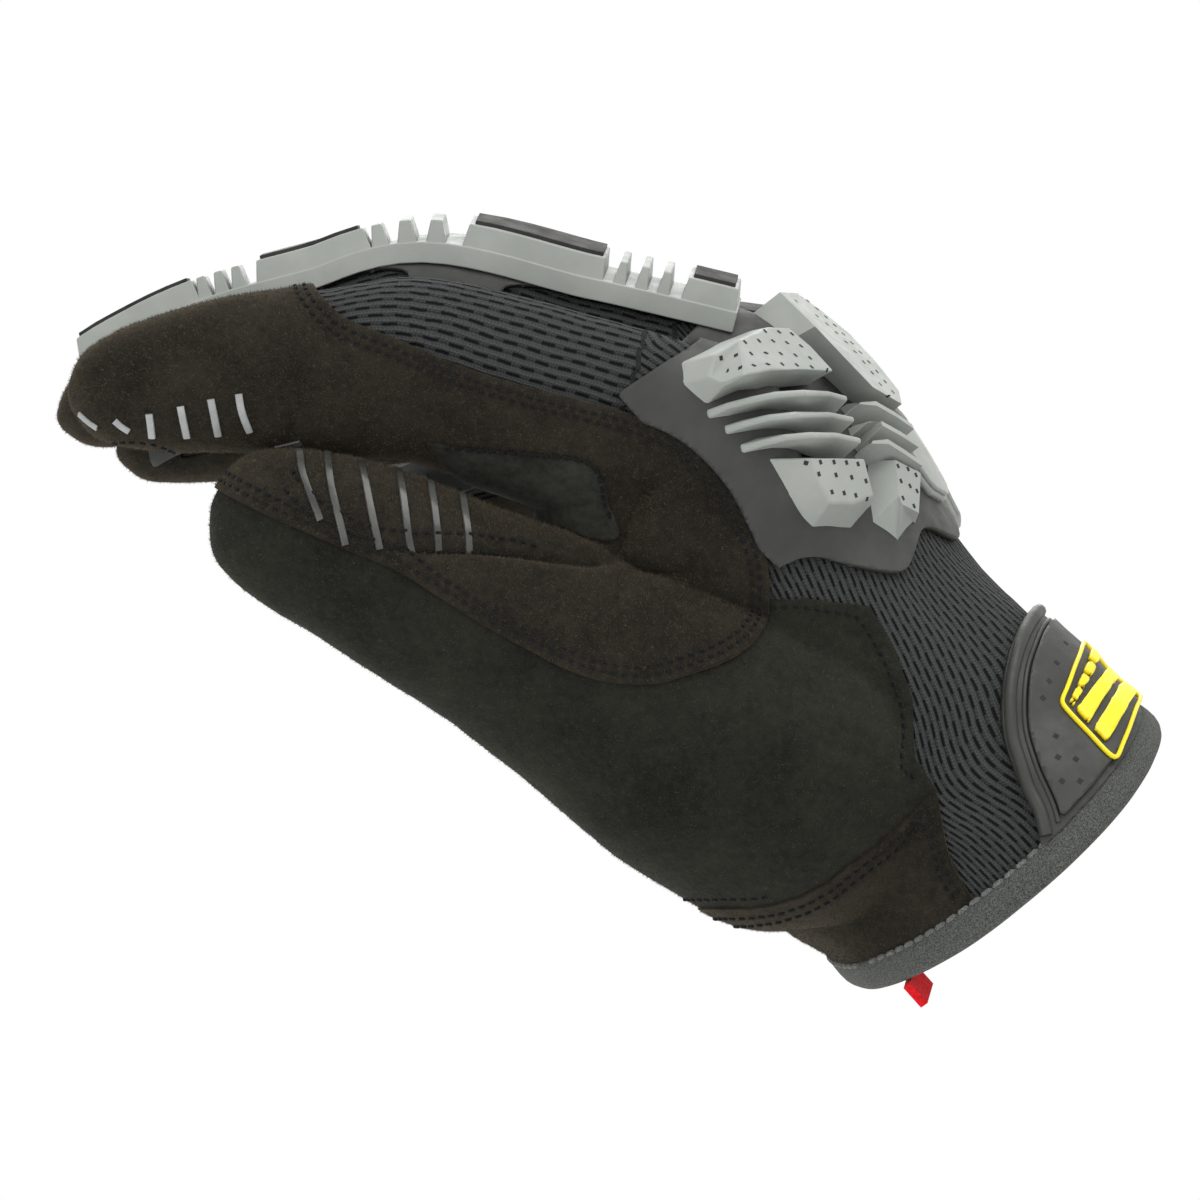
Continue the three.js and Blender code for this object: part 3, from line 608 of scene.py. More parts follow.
class Finish:
    """A new material and a short way to add nodes to it."""

    def __init__(self, name, colour, rough, **sockets):
        self.material = bpy.data.materials.new(name)
        self.material.use_nodes = True
        self.tree = self.material.node_tree
        self.shader = self.tree.nodes["Principled BSDF"]
        self.set(Base_Color=(*colour, 1), Roughness=rough, **sockets)
        self.material.diffuse_color = (*colour, 1)

    def set(self, **sockets):
        for key, value in sockets.items():
            self.shader.inputs[key.replace("_", " ")].default_value = value

    def link(self, socket, source):
        self.tree.links.new(source, self.shader.inputs[socket])

    def math(self, work, a, b=0.0, c=0.0):
        made = self.tree.nodes.new("ShaderNodeMath")
        made.operation = work
        for k, v in enumerate((a, b, c)):
            if isinstance(v, (int, float)):
                made.inputs[k].default_value = v
            else:
                self.tree.links.new(v, made.inputs[k])
        return made.outputs[0]

    def total(self, *parts):
        """Several values added up, each times its own share."""
        values = [value if share == 1 else self.math("MULTIPLY", value, share) for value, share in parts]
        added = values[0]
        for value in values[1:]:
            added = self.math("ADD", added, value)
        return added

    def step(self, value, low, high, to_low=0.0, to_high=1.0):
        made = self.tree.nodes.new("ShaderNodeMapRange")
        made.interpolation_type = "SMOOTHSTEP"
        for k, v in zip((1, 2, 3, 4), (low, high, to_low, to_high)):
            made.inputs[k].default_value = v
        self.tree.links.new(value, made.inputs[0])
        return made.outputs[0]

    def mix(self, share, one, two):
        made = self.tree.nodes.new("ShaderNodeMix")
        made.data_type = "RGBA"
        for socket, v in ((0, share), (6, one), (7, two)):
            if isinstance(v, tuple):
                made.inputs[socket].default_value = (*v, 1)
            elif isinstance(v, (int, float)):
                made.inputs[socket].default_value = v
            else:
                self.tree.links.new(v, made.inputs[socket])
        return made.outputs[2]

    def place(self):
        """The object's own coordinates, in metres."""
        return self.tree.nodes.new("ShaderNodeTexCoord").outputs["Object"]

    def noise(self, scale, detail=4.0, rough=0.6):
        made = self.tree.nodes.new("ShaderNodeTexNoise")
        for key, value in (("Scale", scale), ("Detail", detail), ("Roughness", rough)):
            made.inputs[key].default_value = value
        self.tree.links.new(self.place(), made.inputs["Vector"])
        return made.outputs[0]

    def bump(self, height, distance, strength):
        made = self.tree.nodes.new("ShaderNodeBump")
        made.inputs["Strength"].default_value = strength
        made.inputs["Distance"].default_value = distance
        self.tree.links.new(height, made.inputs["Height"])
        return made.outputs[0]

    def stored(self, name):
        """The first two numbers of a vector stored on the mesh."""
        made = self.tree.nodes.new("ShaderNodeAttribute")
        made.attribute_name = name
        parts = self.tree.nodes.new("ShaderNodeSeparateXYZ")
        self.tree.links.new(made.outputs["Vector"], parts.inputs[0])
        return parts.outputs[0], parts.outputs[1]


def linear(r, g, b):
    """A colour from the 0 to 255 numbers of a screen."""
    return tuple(((c / 255 + 0.055) / 1.055) ** 2.4 if c > 10 else c / 255 / 12.92 for c in (r, g, b))


print("finish helpers ready")

# %% [markdown]
# Suede is leather with a brushed face. Up close it is a mat of short fibres that catch light at a
# grazing angle, so it gets a sheen, a fine bump, and patches where the nap lies lighter or darker.
# Hair particles would be closer to life, but cost too much for a nap that is half a millimetre long.

# %% suede


def suede(name, dark, light, sheen_tint, sheen=0.35, patch=60.0):
    f = Finish(name, dark, 0.92)
    f.set(Sheen_Weight=sheen, Sheen_Roughness=0.45, Sheen_Tint=(*sheen_tint, 1), Specular_IOR_Level=0.12)
    patches = f.noise(patch, 5.0, 0.7)
    fibre = f.noise(2600.0, 2.0, 0.8)
    tufts = f.noise(700.0, 3.0, 0.7)
    shade = f.total((patches, 0.7), (tufts, 0.45))
    f.link("Base Color", f.mix(f.step(shade, 0.36, 0.8), dark, light))
    f.link("Normal", f.bump(f.total((fibre, 0.6), (tufts, 1)), 0.0003, 0.75))
    return f.material


SUEDE = suede("suede brown", linear(22, 20, 16), linear(44, 41, 34),
              linear(150, 132, 106), 0.3)
PALM_SUEDE = suede("suede black", linear(19, 19, 16), linear(40, 40, 34),
                   linear(110, 108, 96), 0.22, 45.0)
GREY_PATCH = suede("suede grey grain", linear(30, 30, 27), linear(56, 56, 51),
                   linear(120, 118, 108), 0.15, 90.0)
print("suedes made")

# %% [markdown]
# The knit has ribs that run along the hand, and short slits between them in staggered rows.
# Both come from the stored lengths: a wave across the ribs, and a slit wherever a place in a brick
# pattern is near its middle. The colour holds painted light and shade: the slits are painted
# near-black as painted shade, and the rib crests and yarn loops are painted lighter than the grooves.

# %% knit
RIB = 1.7  # mm from rib to rib
SLIT_PITCH = 4.4  # mm from slit to slit along a rib
SLIT_LONG = 0.62  # share of the pitch
SLIT_SOFT = 0.06  # share of the pitch over which a slit fades
STITCH = 0.62  # mm, one loop of the knit


def knit(name, dark, light):
    f = Finish(name, dark, 0.85)
    f.set(Sheen_Weight=0.06, Sheen_Roughness=0.5, Sheen_Tint=(0.3, 0.31, 0.34, 1), Specular_IOR_Level=0.15)
    along, across = f.stored("ribs")
    wobble = f.math("MULTIPLY", f.math("SUBTRACT", f.noise(90.0, 2.0), 0.5), 1.1)
    across = f.math("ADD", across, wobble)
    row = f.math("DIVIDE", across, RIB)
    place = f.math("FRACT", row)
    which = f.math("FLOOR", row)
    groove = f.math("ABSOLUTE", f.math("SUBTRACT", place, 0.5))
    hill = f.math("SINE", f.math("MULTIPLY", groove, math.pi))
    half = f.math("MULTIPLY", f.math("FLOORED_MODULO", which, 2.0), 0.5)
    step = f.math("FRACT", f.math("ADD", f.math("DIVIDE", along, SLIT_PITCH), half))
    from_middle = f.math("ABSOLUTE", f.math("SUBTRACT", step, 0.5))
    long = f.step(from_middle, SLIT_LONG / 2 - SLIT_SOFT, SLIT_LONG / 2, 1.0, 0.0)
    thin = f.step(groove, 0.1, 0.24, 1.0, 0.0)
    slit = f.math("MULTIPLY", long, thin)
    slanted = f.total((along, 1), (groove, 0.9))
    loops = f.math("SINE", f.math("MULTIPLY", slanted, 2 * math.pi / STITCH))
    strands = f.math("SINE", f.math("MULTIPLY", across, 2 * math.pi / (RIB / 3)))
    yarn = f.total((loops, 0.5), (strands, 0.5))
    fuzz = f.noise(2200.0, 2.0)
    height = f.total((hill, 0.5), (yarn, 0.16), (slit, -1.1), (fuzz, 0.16))
    # painted light and shade: lighter on the rib crests and yarn loops, darker in the grooves, with random
    # fuzz
    shade = f.total((hill, 0.45), (yarn, 0.18), (fuzz, 0.45))
    colour = f.mix(f.step(shade, 0.1, 1.0), dark, light)
    # the slits are painted near-black: painted shade in the gaps between the ribs
    f.link("Base Color", f.mix(slit, colour, linear(8, 8, 9)))
    f.link("Normal", f.bump(height, 0.0007, 0.8))
    return f.material


KNIT = knit("knit charcoal", linear(31, 32, 32), linear(68, 69, 69))
print("knit made")

# %% rubber, thread and trim


def rubber(name, colour, worn, rough=0.5):
    f = Finish(name, colour, rough)
    f.set(Specular_IOR_Level=0.4)
    cloudy = f.noise(70.0, 4.0)
    f.link("Base Color", f.mix(f.step(cloudy, 0.35, 0.75), colour, worn))
    f.link("Roughness", f.step(f.noise(260.0), 0.3, 0.8, rough - 0.08, rough + 0.12))
    f.link("Normal", f.bump(f.noise(3200.0, 2.0), 0.00004, 0.35))
    return f.material


def plain_cloth(name, dark, light, scale):
    f = Finish(name, dark, 0.9)
    f.set(Sheen_Weight=0.05, Sheen_Roughness=0.5, Specular_IOR_Level=0.15)
    grain = f.noise(scale, 2.0, 0.8)
    f.link("Base Color", f.mix(f.step(grain, 0.3, 0.7), dark, light))
    f.link("Normal", f.bump(grain, 0.0003, 0.7))
    return f.material


GREY_RUBBER = rubber("rubber grey", linear(142, 146, 141), linear(154, 157, 151))
DARK_RUBBER = rubber("rubber dark grey", linear(46, 47, 44), linear(57, 58, 54), 0.55)
TAB_RUBBER = rubber("rubber charcoal", linear(42, 43, 40), linear(50, 51, 47), 0.5)
INLAY = rubber("rubber black grip", linear(22, 20, 17), linear(32, 29, 25), 0.7)
# painted shade: the colour of the dark squares that stand for the shadow in the pits
PIT_SHADE = rubber("rubber in shadow", linear(30, 31, 31), linear(36, 37, 37), 0.8)
YELLOW = rubber("rubber yellow", linear(244, 222, 22), linear(236, 208, 18), 0.38)
BINDING = plain_cloth("binding knit", linear(44, 45, 43), linear(96, 98, 94), 3600.0)
THREAD = plain_cloth("black thread", linear(10, 10, 10), linear(24, 24, 24), 3000.0)
THREAD_GREY = plain_cloth("grey thread", linear(70, 72, 70), linear(116, 118, 114), 3000.0)
PULL = plain_cloth("red webbing", linear(176, 10, 18), linear(214, 22, 30), 1400.0)
LINING = plain_cloth("lining", linear(20, 20, 21), linear(38, 38, 40), 900.0)
# one silicone for all grip strips in two colours: the index's lighter, the thumb's darker copy is painted
# shade
SILVER = rubber("silicone silver", linear(140, 142, 142), linear(176, 178, 178), 0.25)
SILVER_SHADED = rubber("silicone silver, painted shade", linear(48, 49, 46), linear(84, 85, 81), 0.25)
print("finishes:", len(bpy.data.materials))

# %% [markdown]
# Writing a piece. The cloth panels are sheets with a real thickness: the trimmed skin is lifted a
# little, and Solidify gives it a back and a cut edge, which is what makes an overlap read as cloth.

# %% writing pieces


def piece(name, mesh, material, stands_for=(), smooth=40):
    mesh.materials.clear()
    mesh.materials.append(material)
    made = new_object(name, mesh)
    mesh.shade_smooth()
    if smooth:
        mesh.set_sharp_from_angle(angle=math.radians(smooth))
    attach(made, "root")
    if stands_for:
        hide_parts(*stands_for)
    return made


def panel(name, field, low, high, material, stands_for=(), store=None):
    """A sheet of the skin where the field is above 0, from a height to another above the skin."""
    extra = np.c_[hand_n, store if store is not None else np.zeros((len(hand_p), 2))]
    p, t, e = trimmed(hand_p, hand_t, field, extra)
    n = unit(e[:, :3])
    mesh = mesh_from(name, p + n * high, t)
    if store is not None:
        kept = mesh.attributes.new("ribs", "FLOAT_VECTOR", "POINT")
        kept.data.foreach_set("vector", np.c_[e[:, 3:5], np.zeros(len(e))].ravel())
    made = piece(name, mesh, material, stands_for)
    if high > low:
        modifier(made, "SOLIDIFY", thickness=(high - low) * MM, offset=-1, use_even_offset=False)
    print(name, len(t), "triangles")
    return made


print("piece writer ready")

# %% [markdown]
# The panels' edges. The saddle that joins the thumb and the index finger is drawn as the viewer
# sees it. The palm's suede ends at a line that runs along the side of the hand. Each number below
# says how far inside a panel a point of the skin lies.

# %% where each panel lies
SADDLE = [  # on the sheet: the seam over the index finger, round the saddle, and along the thumb
    (311, 270), (313, 288), (326, 305), (345, 320), (400, 341), (470, 369), (560, 395), (620, 410),
    (660, 423), (692, 441), (718, 465), (740, 495), (757, 530), (768, 567), (770, 600), (765, 625),
    (750, 647), (722, 664), (690, 675), (655, 684), (615, 683), (575, 672), (530, 650), (480, 622),
    (440, 597), (400, 572), (350, 551), (300, 530), (255, 510), (222, 492), (200, 478), (150, 455),
    (60, 450), (20, 400), (20, 330), (150, 240), (290, 240),
]
SADDLE_BACK = -14.5  # mm: behind this the saddle ends, on the far side of the index finger
SIDE_SEAM = [(-0.4, 0.05), (0.03, 0.08), (0.16, 0.165), (0.23, 0.17), (0.32, 0.26), (0.41, 0.30),
             (0.51, 0.32), (0.59, 0.24), (0.63, 0.17), (0.74, 0.18), (0.95, 0.18), (1.9, 0.18)]
WRIST_SEAM = [(1200, 700), (1000, 775), (935, 790), (918, 806), (900, 822), (875, 843), (850, 861),
              (825, 881), (800, 894), (775, 902), (750, 905), (700, 905), (560, 900)]
FINGER_SEAM = {"index": 0.86, "middle": 0.9, "ring": 0.9, "little": 0.88}
SIDE_HEIGHT = -0.12  # share of a finger's thickness where its knit back meets its suede front

cuff_in = -(hand_p @ CUFF_AXIS)
near_side = np.clip(SADDLE_BACK - hand_p[:, 1], -50, 50)
other_finger = at.on_finger & (at.finger > 0) & (at.finger < 4)
saddle_in = overlap(drawn_area(SADDLE), near_side, np.where(other_finger, -5, 50))
seam_out = np.interp(at.palm[:, 0], *np.array(SIDE_SEAM).T)
palm_in = (seam_out - at.palm[:, 2]) * PALM_DEPTH
tip_from = np.choose(at.finger, list(FINGER_SEAM.values()) + [0.3])
finger_in = np.maximum(SIDE_HEIGHT * at.thick - at.lift, (at.share - tip_from) * at.length)
blend = np.clip((at.share - 0.02) / 0.12, 0, 1)
suede_in = np.where(at.finger == 4, np.where(at.on_finger, 6.0, palm_in),
                    palm_in * (1 - blend) + finger_in * blend)
wrist_box = WRIST_SEAM + [(500, 1300), (1400, 1300), (1400, 700)]  # and round below the glove
wrist_in = inside_outline(at.sheet, wrist_box) * DRAWING_UNIT
knit_in = -np.maximum(suede_in, saddle_in) + 2.0
print("knit covers", round(float((knit_in > 0).mean()), 2), "of the skin")

# %% [markdown]
# The ribs of the knit. On a finger they run along it, and on the hand they run from the cuff to the
# knuckles. The lengths are stored in mm, so the ribs keep their real width on a thin finger.

# %% lengths along and across the ribs
HAND_ROUND = 36  # mm, a mean radius of the hand
palm_mid = smooth_rows(PALM_SECTIONS, np.clip(at.palm[:, 0], -0.16, 1.14))
round_palm = np.arctan2((at.palm[:, 2] - palm_mid[:, 1]) * PALM_DEPTH,
                        (at.palm[:, 1] - palm_mid[:, 0]) * PALM_WIDTH * 0.62)
round_finger = np.arctan2(at.lift, at.off * 1.15)
turn_cut = -math.pi / 2
wrap = lambda a: (a - turn_cut) % (2 * math.pi)
ribs = np.stack([
    np.where(at.on_finger, at.share * at.length, at.palm[:, 0] * PALM_LENGTH),
    np.where(at.on_finger, wrap(round_finger) * at.wide * 0.6, wrap(round_palm) * HAND_ROUND),
], 1)
print("ribs run up to", ribs.max(0).round(0), "mm")

# %% the cloth panels
inside_cuff = cuff_in - 1.0
panel("knit_back", np.minimum(knit_in, inside_cuff), -0.05, -0.05, KNIT,
      ["back_panel", "middle_sleeve", "ring_sleeve", "little_sleeve"], ribs)
palm_field = overlap(suede_in, -wrist_in + 0.6, inside_cuff)
panel("palm_suede", np.minimum(palm_field, -saddle_in + 3.0), -0.2, 0.45, PALM_SUEDE,
      ["palm_panel", "thumb_sleeve"])
panel("wrist_suede", overlap(suede_in, wrist_in, inside_cuff), -0.1, 0.95,
      SUEDE, ["wrist_panel"])
panel("saddle_suede", np.minimum(saddle_in, inside_cuff), 0.5, 1.3, SUEDE,
      ["saddle_patch", "index_sleeve"])

# %% [markdown]
# The hollow inside. A coarser skin, drawn in by the cloth's thickness and turned inside out, shows
# through the wrist opening.

# %% lining
LINING_VOXEL = 2.2
CLOTH = 1.8  # mm
lining_p, lining_t = skin([palm_tube()] + [digit_tube(name) for name in DIGITS], LINING_VOXEL, 6)
lining_n = normals_of(lining_p, lining_t)
lining_cuff = -(lining_p @ CUFF_AXIS) - 0.5
p, t, e = trimmed(lining_p, lining_t, lining_cuff, lining_n)
lining_mesh = mesh_from("lining", p - e * CLOTH, t[:, ::-1])
piece("lining", lining_mesh, LINING)
print("lining", len(t), "triangles")

# %% [markdown]
# Rubber armour. The knuckle base is a moulded sheet, so it is cut from the skin as the cloth is.
# Its outline is a table of shares of the palm, eased into a smooth loop.

# %% knuckle base
KNUCKLE_BASE = [  # shares along and across the palm
    (1.09, -0.66), (1.09, -0.4), (1.14, -0.22), (1.14, 0.04), (1.1, 0.2), (1.04, 0.34), (0.98, 0.46),
    (0.92, 0.66), (0.64, 0.66), (0.56, 0.36), (0.6, 0.24), (0.53, 0.08), (0.58, -0.06), (0.53, -0.22),
    (0.59, -0.33), (0.66, -0.42), (0.72, -0.66),
]
SIDE_REACH = 0.24
scale = np.array([PALM_LENGTH, PALM_WIDTH])
base_in = inside_outline(at.palm[:, :2] * scale, eased_loop(np.array(KNUCKLE_BASE) * scale))
base_in = overlap(base_in, (at.palm[:, 2] - SIDE_REACH) * PALM_DEPTH, -saddle_in + 1.0)
panel("knuckle_sheet", base_in, 0.1, 1.6, DARK_RUBBER, ["knuckle_base"])

# %% [markdown]
# A knuckle pad is a moulded block with flat facets: a front half, three thin fins and a rear half.
# Its corners are set where the viewer sees them, each at its own height above the skin, and the
# walls go down to a foot on the rubber sheet. Walking from the eye to that height is like holding a
# pencil against the real pad. A bevel then gives the soft moulded edges.

# %% finding places on the skin
skin_tree = BVHTree.FromPolygons(hand_p.tolist(), hand_t.tolist())
EYE = np.array([VIEW_CENTRE[0], -VIEW_DISTANCE, VIEW_CENTRE[1]])
NEAR_REACH = 150  # mm: the walk starts this far before the sheet's plane
FAR_REACH = 60  # and it gives up this far behind it
SHEET_TOP = 1.5  # mm, the top of the knuckle sheet above the skin
FOOT = SHEET_TOP - 0.6  # the pads' walls end inside the sheet


def sight(x, y):
    """The way from the eye to a spot of the sheet."""
    goal = np.array([VIEW_CENTRE[0] + (x - SHEET_CENTRE) * DRAWING_UNIT, 0,
                     VIEW_CENTRE[1] - (y - SHEET_CENTRE) * DRAWING_UNIT])
    return (goal - EYE) / np.linalg.norm(goal - EYE)


def seen(x, y, lift):
    """The place at a height above the skin that the viewer sees at a spot, and the way out there."""
    way = sight(x, y)
    spot = EYE + way * (VIEW_DISTANCE - NEAR_REACH)
    best = None
    while spot[1] < FAR_REACH:
        _, out, _, gap = skin_tree.find_nearest(Vector(spot))
        short = gap - lift
        if best is None or short < best[0]:
            best = (short, spot.copy(), np.array(out))
        if short < 0.02:
            break
        spot = spot + way * max(short, 0.05)
    return best[1], best[2]


def lowered(spot, to):
    """The place at another height above the skin under a spot."""
    near, _, _, gap = skin_tree.find_nearest(Vector(spot))
    near = np.array(near)
    way = (np.asarray(spot) - near) / max(gap, 1e-6)
    return near + way * to


print("skin found at", seen(800, 480, 7)[0].round(1))

# %% tables of the knuckle pads
# right, down and height of the top; then right and down of its foot, or nothing where the wall
# goes straight down
INDEX_FRONT = [
    (716, 354, 6.6, 677, 362), (740, 339, 7.0, 712, 343), (768, 327, 7.2, 752, 328), (789, 327, 7.4),
    (812, 346, 7.8), (834, 371, 8.0), (802, 368, 8.0), (772, 369.5, 8.0), (745, 375, 7.6),
    (723, 385, 5.6, 704, 407), (708, 378, 5.4, 679, 384),
]
INDEX_REAR = [
    (811, 458, 7.0, 757, 458), (838, 457.5, 7.2), (865, 458, 7.2), (874, 496, 6.2, 873, 506),
    (853, 503, 6.0, 853, 530), (830, 503, 6.2, 812, 530), (821, 484, 6.8, 786, 496),
]
MIDDLE_FRONT = [
    (780, 292, 5.2, 753, 308), (797, 293, 6.0), (822, 311, 6.6), (850, 334, 7.0), (876, 362, 7.2),
    (899, 391, 7.2), (902, 404, 6.6), (873, 387, 7.6, 848, 399), (849, 362, 7.6, 822, 374),
    (815, 326, 7.0, 788, 340),
]
MIDDLE_REAR = [
    (896, 460, 6.8, 866, 459), (921, 473, 6.4), (919, 513, 5.4, 917, 523), (902, 504, 5.8, 899, 545),
    (899, 495, 6.2, 871, 525), (898, 480, 6.4, 866, 492),
]
INDEX_FINS = [
    [(706, 411, 1.9), (728, 402, 4.4), (752, 396, 6.4), (776, 391, 7.6),
     (805, 389, 8.3), (828, 390, 8.4), (847, 395, 8.2)],
    [(724, 427, 1.9), (746, 420, 4.4), (770, 414, 6.4), (797, 411, 7.8),
     (830, 411, 8.3), (854, 416, 8.2)],
    [(740, 446, 1.9), (762, 440, 4.4), (786, 434, 6.6), (812, 431.5, 8.0),
     (836, 431.5, 8.3), (861, 437, 8.2)],
]
MIDDLE_FINS = [
    [(847, 404, 3.0), (861, 402, 6.0), (876, 401, 8.0), (895, 412, 8.0), (912, 424, 7.0)],
    [(855, 425, 3.0), (868, 422.5, 6.0), (882, 421, 8.0), (900, 431, 8.0), (917, 442, 7.0)],
    [(860, 443, 3.0), (873, 440.5, 6.0), (888, 439, 8.0), (904, 449, 8.0), (921, 461, 7.0)],
]
FIN_TOP = 1.2  # mm, the thickness of a fin at its top and at its foot
FIN_FOOT = 2.3


def flattened(top, most=2.2):
    """Corners slid along their lines of sight onto the plane that fits them best."""
    middle = top.mean(0)
    out = np.linalg.svd(top - middle)[2][2]
    ways = unit(top - EYE)
    slide = ((middle - top) @ out) / (ways @ out)
    return top + ways * np.clip(slide, -most, most)[:, None]


def block_corners(rows, split=None):
    top, foot = [], []
    for row in rows:
        spot, _ = seen(*row[:3])
        top.append(spot)
        foot.append(seen(*row[3:], SHEET_TOP)[0] if len(row) > 3 else lowered(spot, FOOT))
    top = np.array(top)
    flat = split[0] if split else list(range(len(top)))
    top[flat] = flattened(top[flat])
    return top, np.array([lowered(f, FOOT) for f in foot]), split or [flat]


def fin_corners(rows):
    spots = [seen(*row) for row in rows]
    crest = np.array([s for s, _ in spots])
    ways = np.array([w for _, w in spots])
    back = unit(np.cross(np.gradient(crest, axis=0), ways))
    back *= np.sign(-(back @ ALONG))[:, None]
    foot = np.array([lowered(c, FOOT) for c in crest])
    middle = crest + back * FIN_TOP / 2
    low = foot + back * FIN_TOP / 2
    return np.stack([middle - back * FIN_TOP / 2, middle + back * FIN_TOP / 2,
                     low + back * FIN_FOOT / 2, low - back * FIN_FOOT / 2], 1)


# %% the four pads


def block_mesh(top, foot, tops, faces, points):
    n, start = len(top), len(points)
    points += list(top) + list(foot)
    faces += [[start + k for k in some] for some in tops]
    faces.append([start + n + k for k in range(n)][::-1])
    for k in range(n):
        j = (k + 1) % n
        faces.append([start + j, start + k, start + n + k, start + n + j])


def fin_mesh(rings, faces, points):
    faces += [[len(points) + k for k in face] for face in ring_faces(len(rings), 4)]
    points += list(rings.reshape(-1, 3))


def facing_out(made):
    """All faces of a mesh turned to look outward."""
    shape = bmesh.new()
    shape.from_mesh(made.data)
    bmesh.ops.recalc_face_normals(shape, faces=shape.faces)
    shape.to_mesh(made.data)
    shape.free()


def soft_edges(made, width, segments, angle, weight):
    facing_out(made)
    modifier(made, "BEVEL", width=width * MM, segments=segments, limit_method="ANGLE",
             angle_limit=math.radians(angle))
    modifier(made, "WEIGHTED_NORMAL", weight=weight)


def pad_of(name, blocks, fins, node):
    points, faces = [], []
    for block in blocks:
        block_mesh(*block, faces, points)
    for rings in fins:
        fin_mesh(rings, faces, points)
    made = piece(name, mesh_from(name, points, faces), GREY_RUBBER, [node], smooth=0)
    soft_edges(made, 0.75, 3, 24, 60)
    return made


FRONT_FACES = [[1, 2, 3, 4, 5, 6, 7, 8], [8, 9, 10, 0, 1]]  # the top has a fold from corner 1 to 8
index_blocks = [block_corners(INDEX_FRONT, FRONT_FACES), block_corners(INDEX_REAR)]
index_fins = [fin_corners(rows) for rows in INDEX_FINS]
middle_blocks = [block_corners(MIDDLE_FRONT), block_corners(MIDDLE_REAR)]
middle_fins = [fin_corners(rows) for rows in MIDDLE_FINS]
pads = {
    "index": pad_of("pad_index", index_blocks, index_fins, "knuckle_pad_index"),
    "middle": pad_of("pad_middle", middle_blocks, middle_fins, "knuckle_pad_middle"),
}
print("pads:", sorted(pads))

# %% the two pads that the middle one hides
HIDDEN_PADS = {  # middle across the palm, widths in front and behind, lean and shift, as shares
    "ring": (0.2, 0.22, 0.14, 0.42, -0.02), "little": (0.43, 0.17, 0.12, 0.4, -0.07),
}
PAD_PARTS = [  # shares along the palm, and sides of the pad
    [(0.94, -1), (1.02, -1), (1.06, -0.6), (1.06, 0.6), (1.02, 1), (0.94, 1)],
    [(0.8, -1), (0.8, 1), (0.68, 1), (0.64, 0.5), (0.64, -0.5), (0.68, -1)],
] + [[(a - 0.011, -1), (a + 0.011, -1), (a + 0.011, 1), (a - 0.011, 1)] for a in (0.905, 0.87, 0.835)]
for name, (across, front, rear, lean, shift) in HIDDEN_PADS.items():
    inside = np.full(len(hand_p), -9.0)
    for part in PAD_PARTS:
        loop = []
        for along, side in part:
            off = side * (rear + (front - rear) * (along - 0.64) / 0.42) / 2
            loop.append((along + shift - 0.35 * off, across - lean * (0.94 - along) + off))
        inside = np.maximum(inside, inside_outline(at.palm[:, :2] * scale, np.array(loop) * scale))
    inside = np.minimum(inside, (at.palm[:, 2] - SIDE_REACH) * PALM_DEPTH)
    panel("pad_" + name, inside, 1.4, 2.9, GREY_RUBBER, ["knuckle_pad_" + name])
    panel(f"pad_{name}_top", inside - 0.6, 2.8, 3.8, GREY_RUBBER)

# %% [markdown]
# The small square pits in the pads are too small to cut. A dark square laid a hair above the face,
# its colour painted shade in place of the shadow in the pit's hollow, reads the same, and its rows
# can be drawn with a start, a middle and an end.

# %% pits in the rubber, as squares of painted shade


def joined(name, parts, material, smooth=40):
    """One piece out of many small point and face lists."""
    points, faces, start = [], [], 0
    for p, f in parts:
        points.append(np.asarray(p))
        faces += [[v + start for v in face] for face in f]
        start += len(p)
    return piece(name, mesh_from(name, np.vstack(points), faces), material, smooth=smooth)


def row_points(row):
    """Spots on the sheet along a row given by its start, middle, end and count."""
    (x0, y0), (x1, y1), (x2, y2), count = row
    t = np.linspace(0, 1, count)
    x = (1 - t) ** 2 * x0 + 2 * t * (1 - t) * (2 * x1 - (x0 + x2) / 2) + t * t * x2
    y = (1 - t) ** 2 * y0 + 2 * t * (1 - t) * (2 * y1 - (y0 + y2) / 2) + t * t * y2
    return list(zip(x, y))


def surface_of(made):
    p, t = arrays_of(made.evaluated_get(bpy.context.evaluated_depsgraph_get()).to_mesh())
    return BVHTree.FromPolygons(p.tolist(), t.tolist())


def squares(rows, tree, size, name):
    """Small dark squares of painted shade on a surface, where the viewer sees the rows' spots."""
    parts = []
    for row in rows:
        for x, y in row_points(row):
            way = Vector(sight(x, y))
            hit, out, _, _ = tree.ray_cast(Vector(EYE), way)
            if hit is None or out.dot(way) > SKIMMING:
                continue
            hit, out = np.array(hit), np.array(out)
            u = ACROSS - out * out.dot(ACROSS)
            u /= np.linalg.norm(u)
            v = np.cross(out, u)
            corners = [hit + out * 0.04 + (u * i + v * j) * size / 2
                       for i, j in ((-1, -1), (1, -1), (1, 1), (-1, 1))]
            parts.append((corners, [[0, 1, 2, 3]]))
    print(name, len(parts), "pits")
    return joined(name, parts, PIT_SHADE, smooth=0)


PIT_SIZE = 0.85
SKIMMING = -0.08  # a pit is left out where the face is almost edge on to the eye
INDEX_PITS = [
    ((765, 331), (779, 332), (792, 334), 3), ((745, 342), (773, 341), (801, 346), 5),
    ((721, 358), (766, 353), (810, 358), 7), ((727, 371), (775, 364), (827, 370), 8),
    ((806, 463), (834, 462), (858, 464), 5), ((819, 474), (844, 476), (866, 481), 4),
    ((832, 492), (850, 494), (867, 499), 4),
]
MIDDLE_PITS = [
    ((796, 301), (846, 342), (888, 396), 11), ((808, 301), (852, 343), (893, 392), 11),
    ((898, 466), (908, 469), (916, 475), 3), ((901, 481), (910, 486), (917, 491), 3),
    ((903, 498), (909, 502), (914, 506), 2),
]
squares(INDEX_PITS, surface_of(pads["index"]), PIT_SIZE, "pit_shade_index")
squares(MIDDLE_PITS, surface_of(pads["middle"]), PIT_SIZE, "pit_shade_middle")

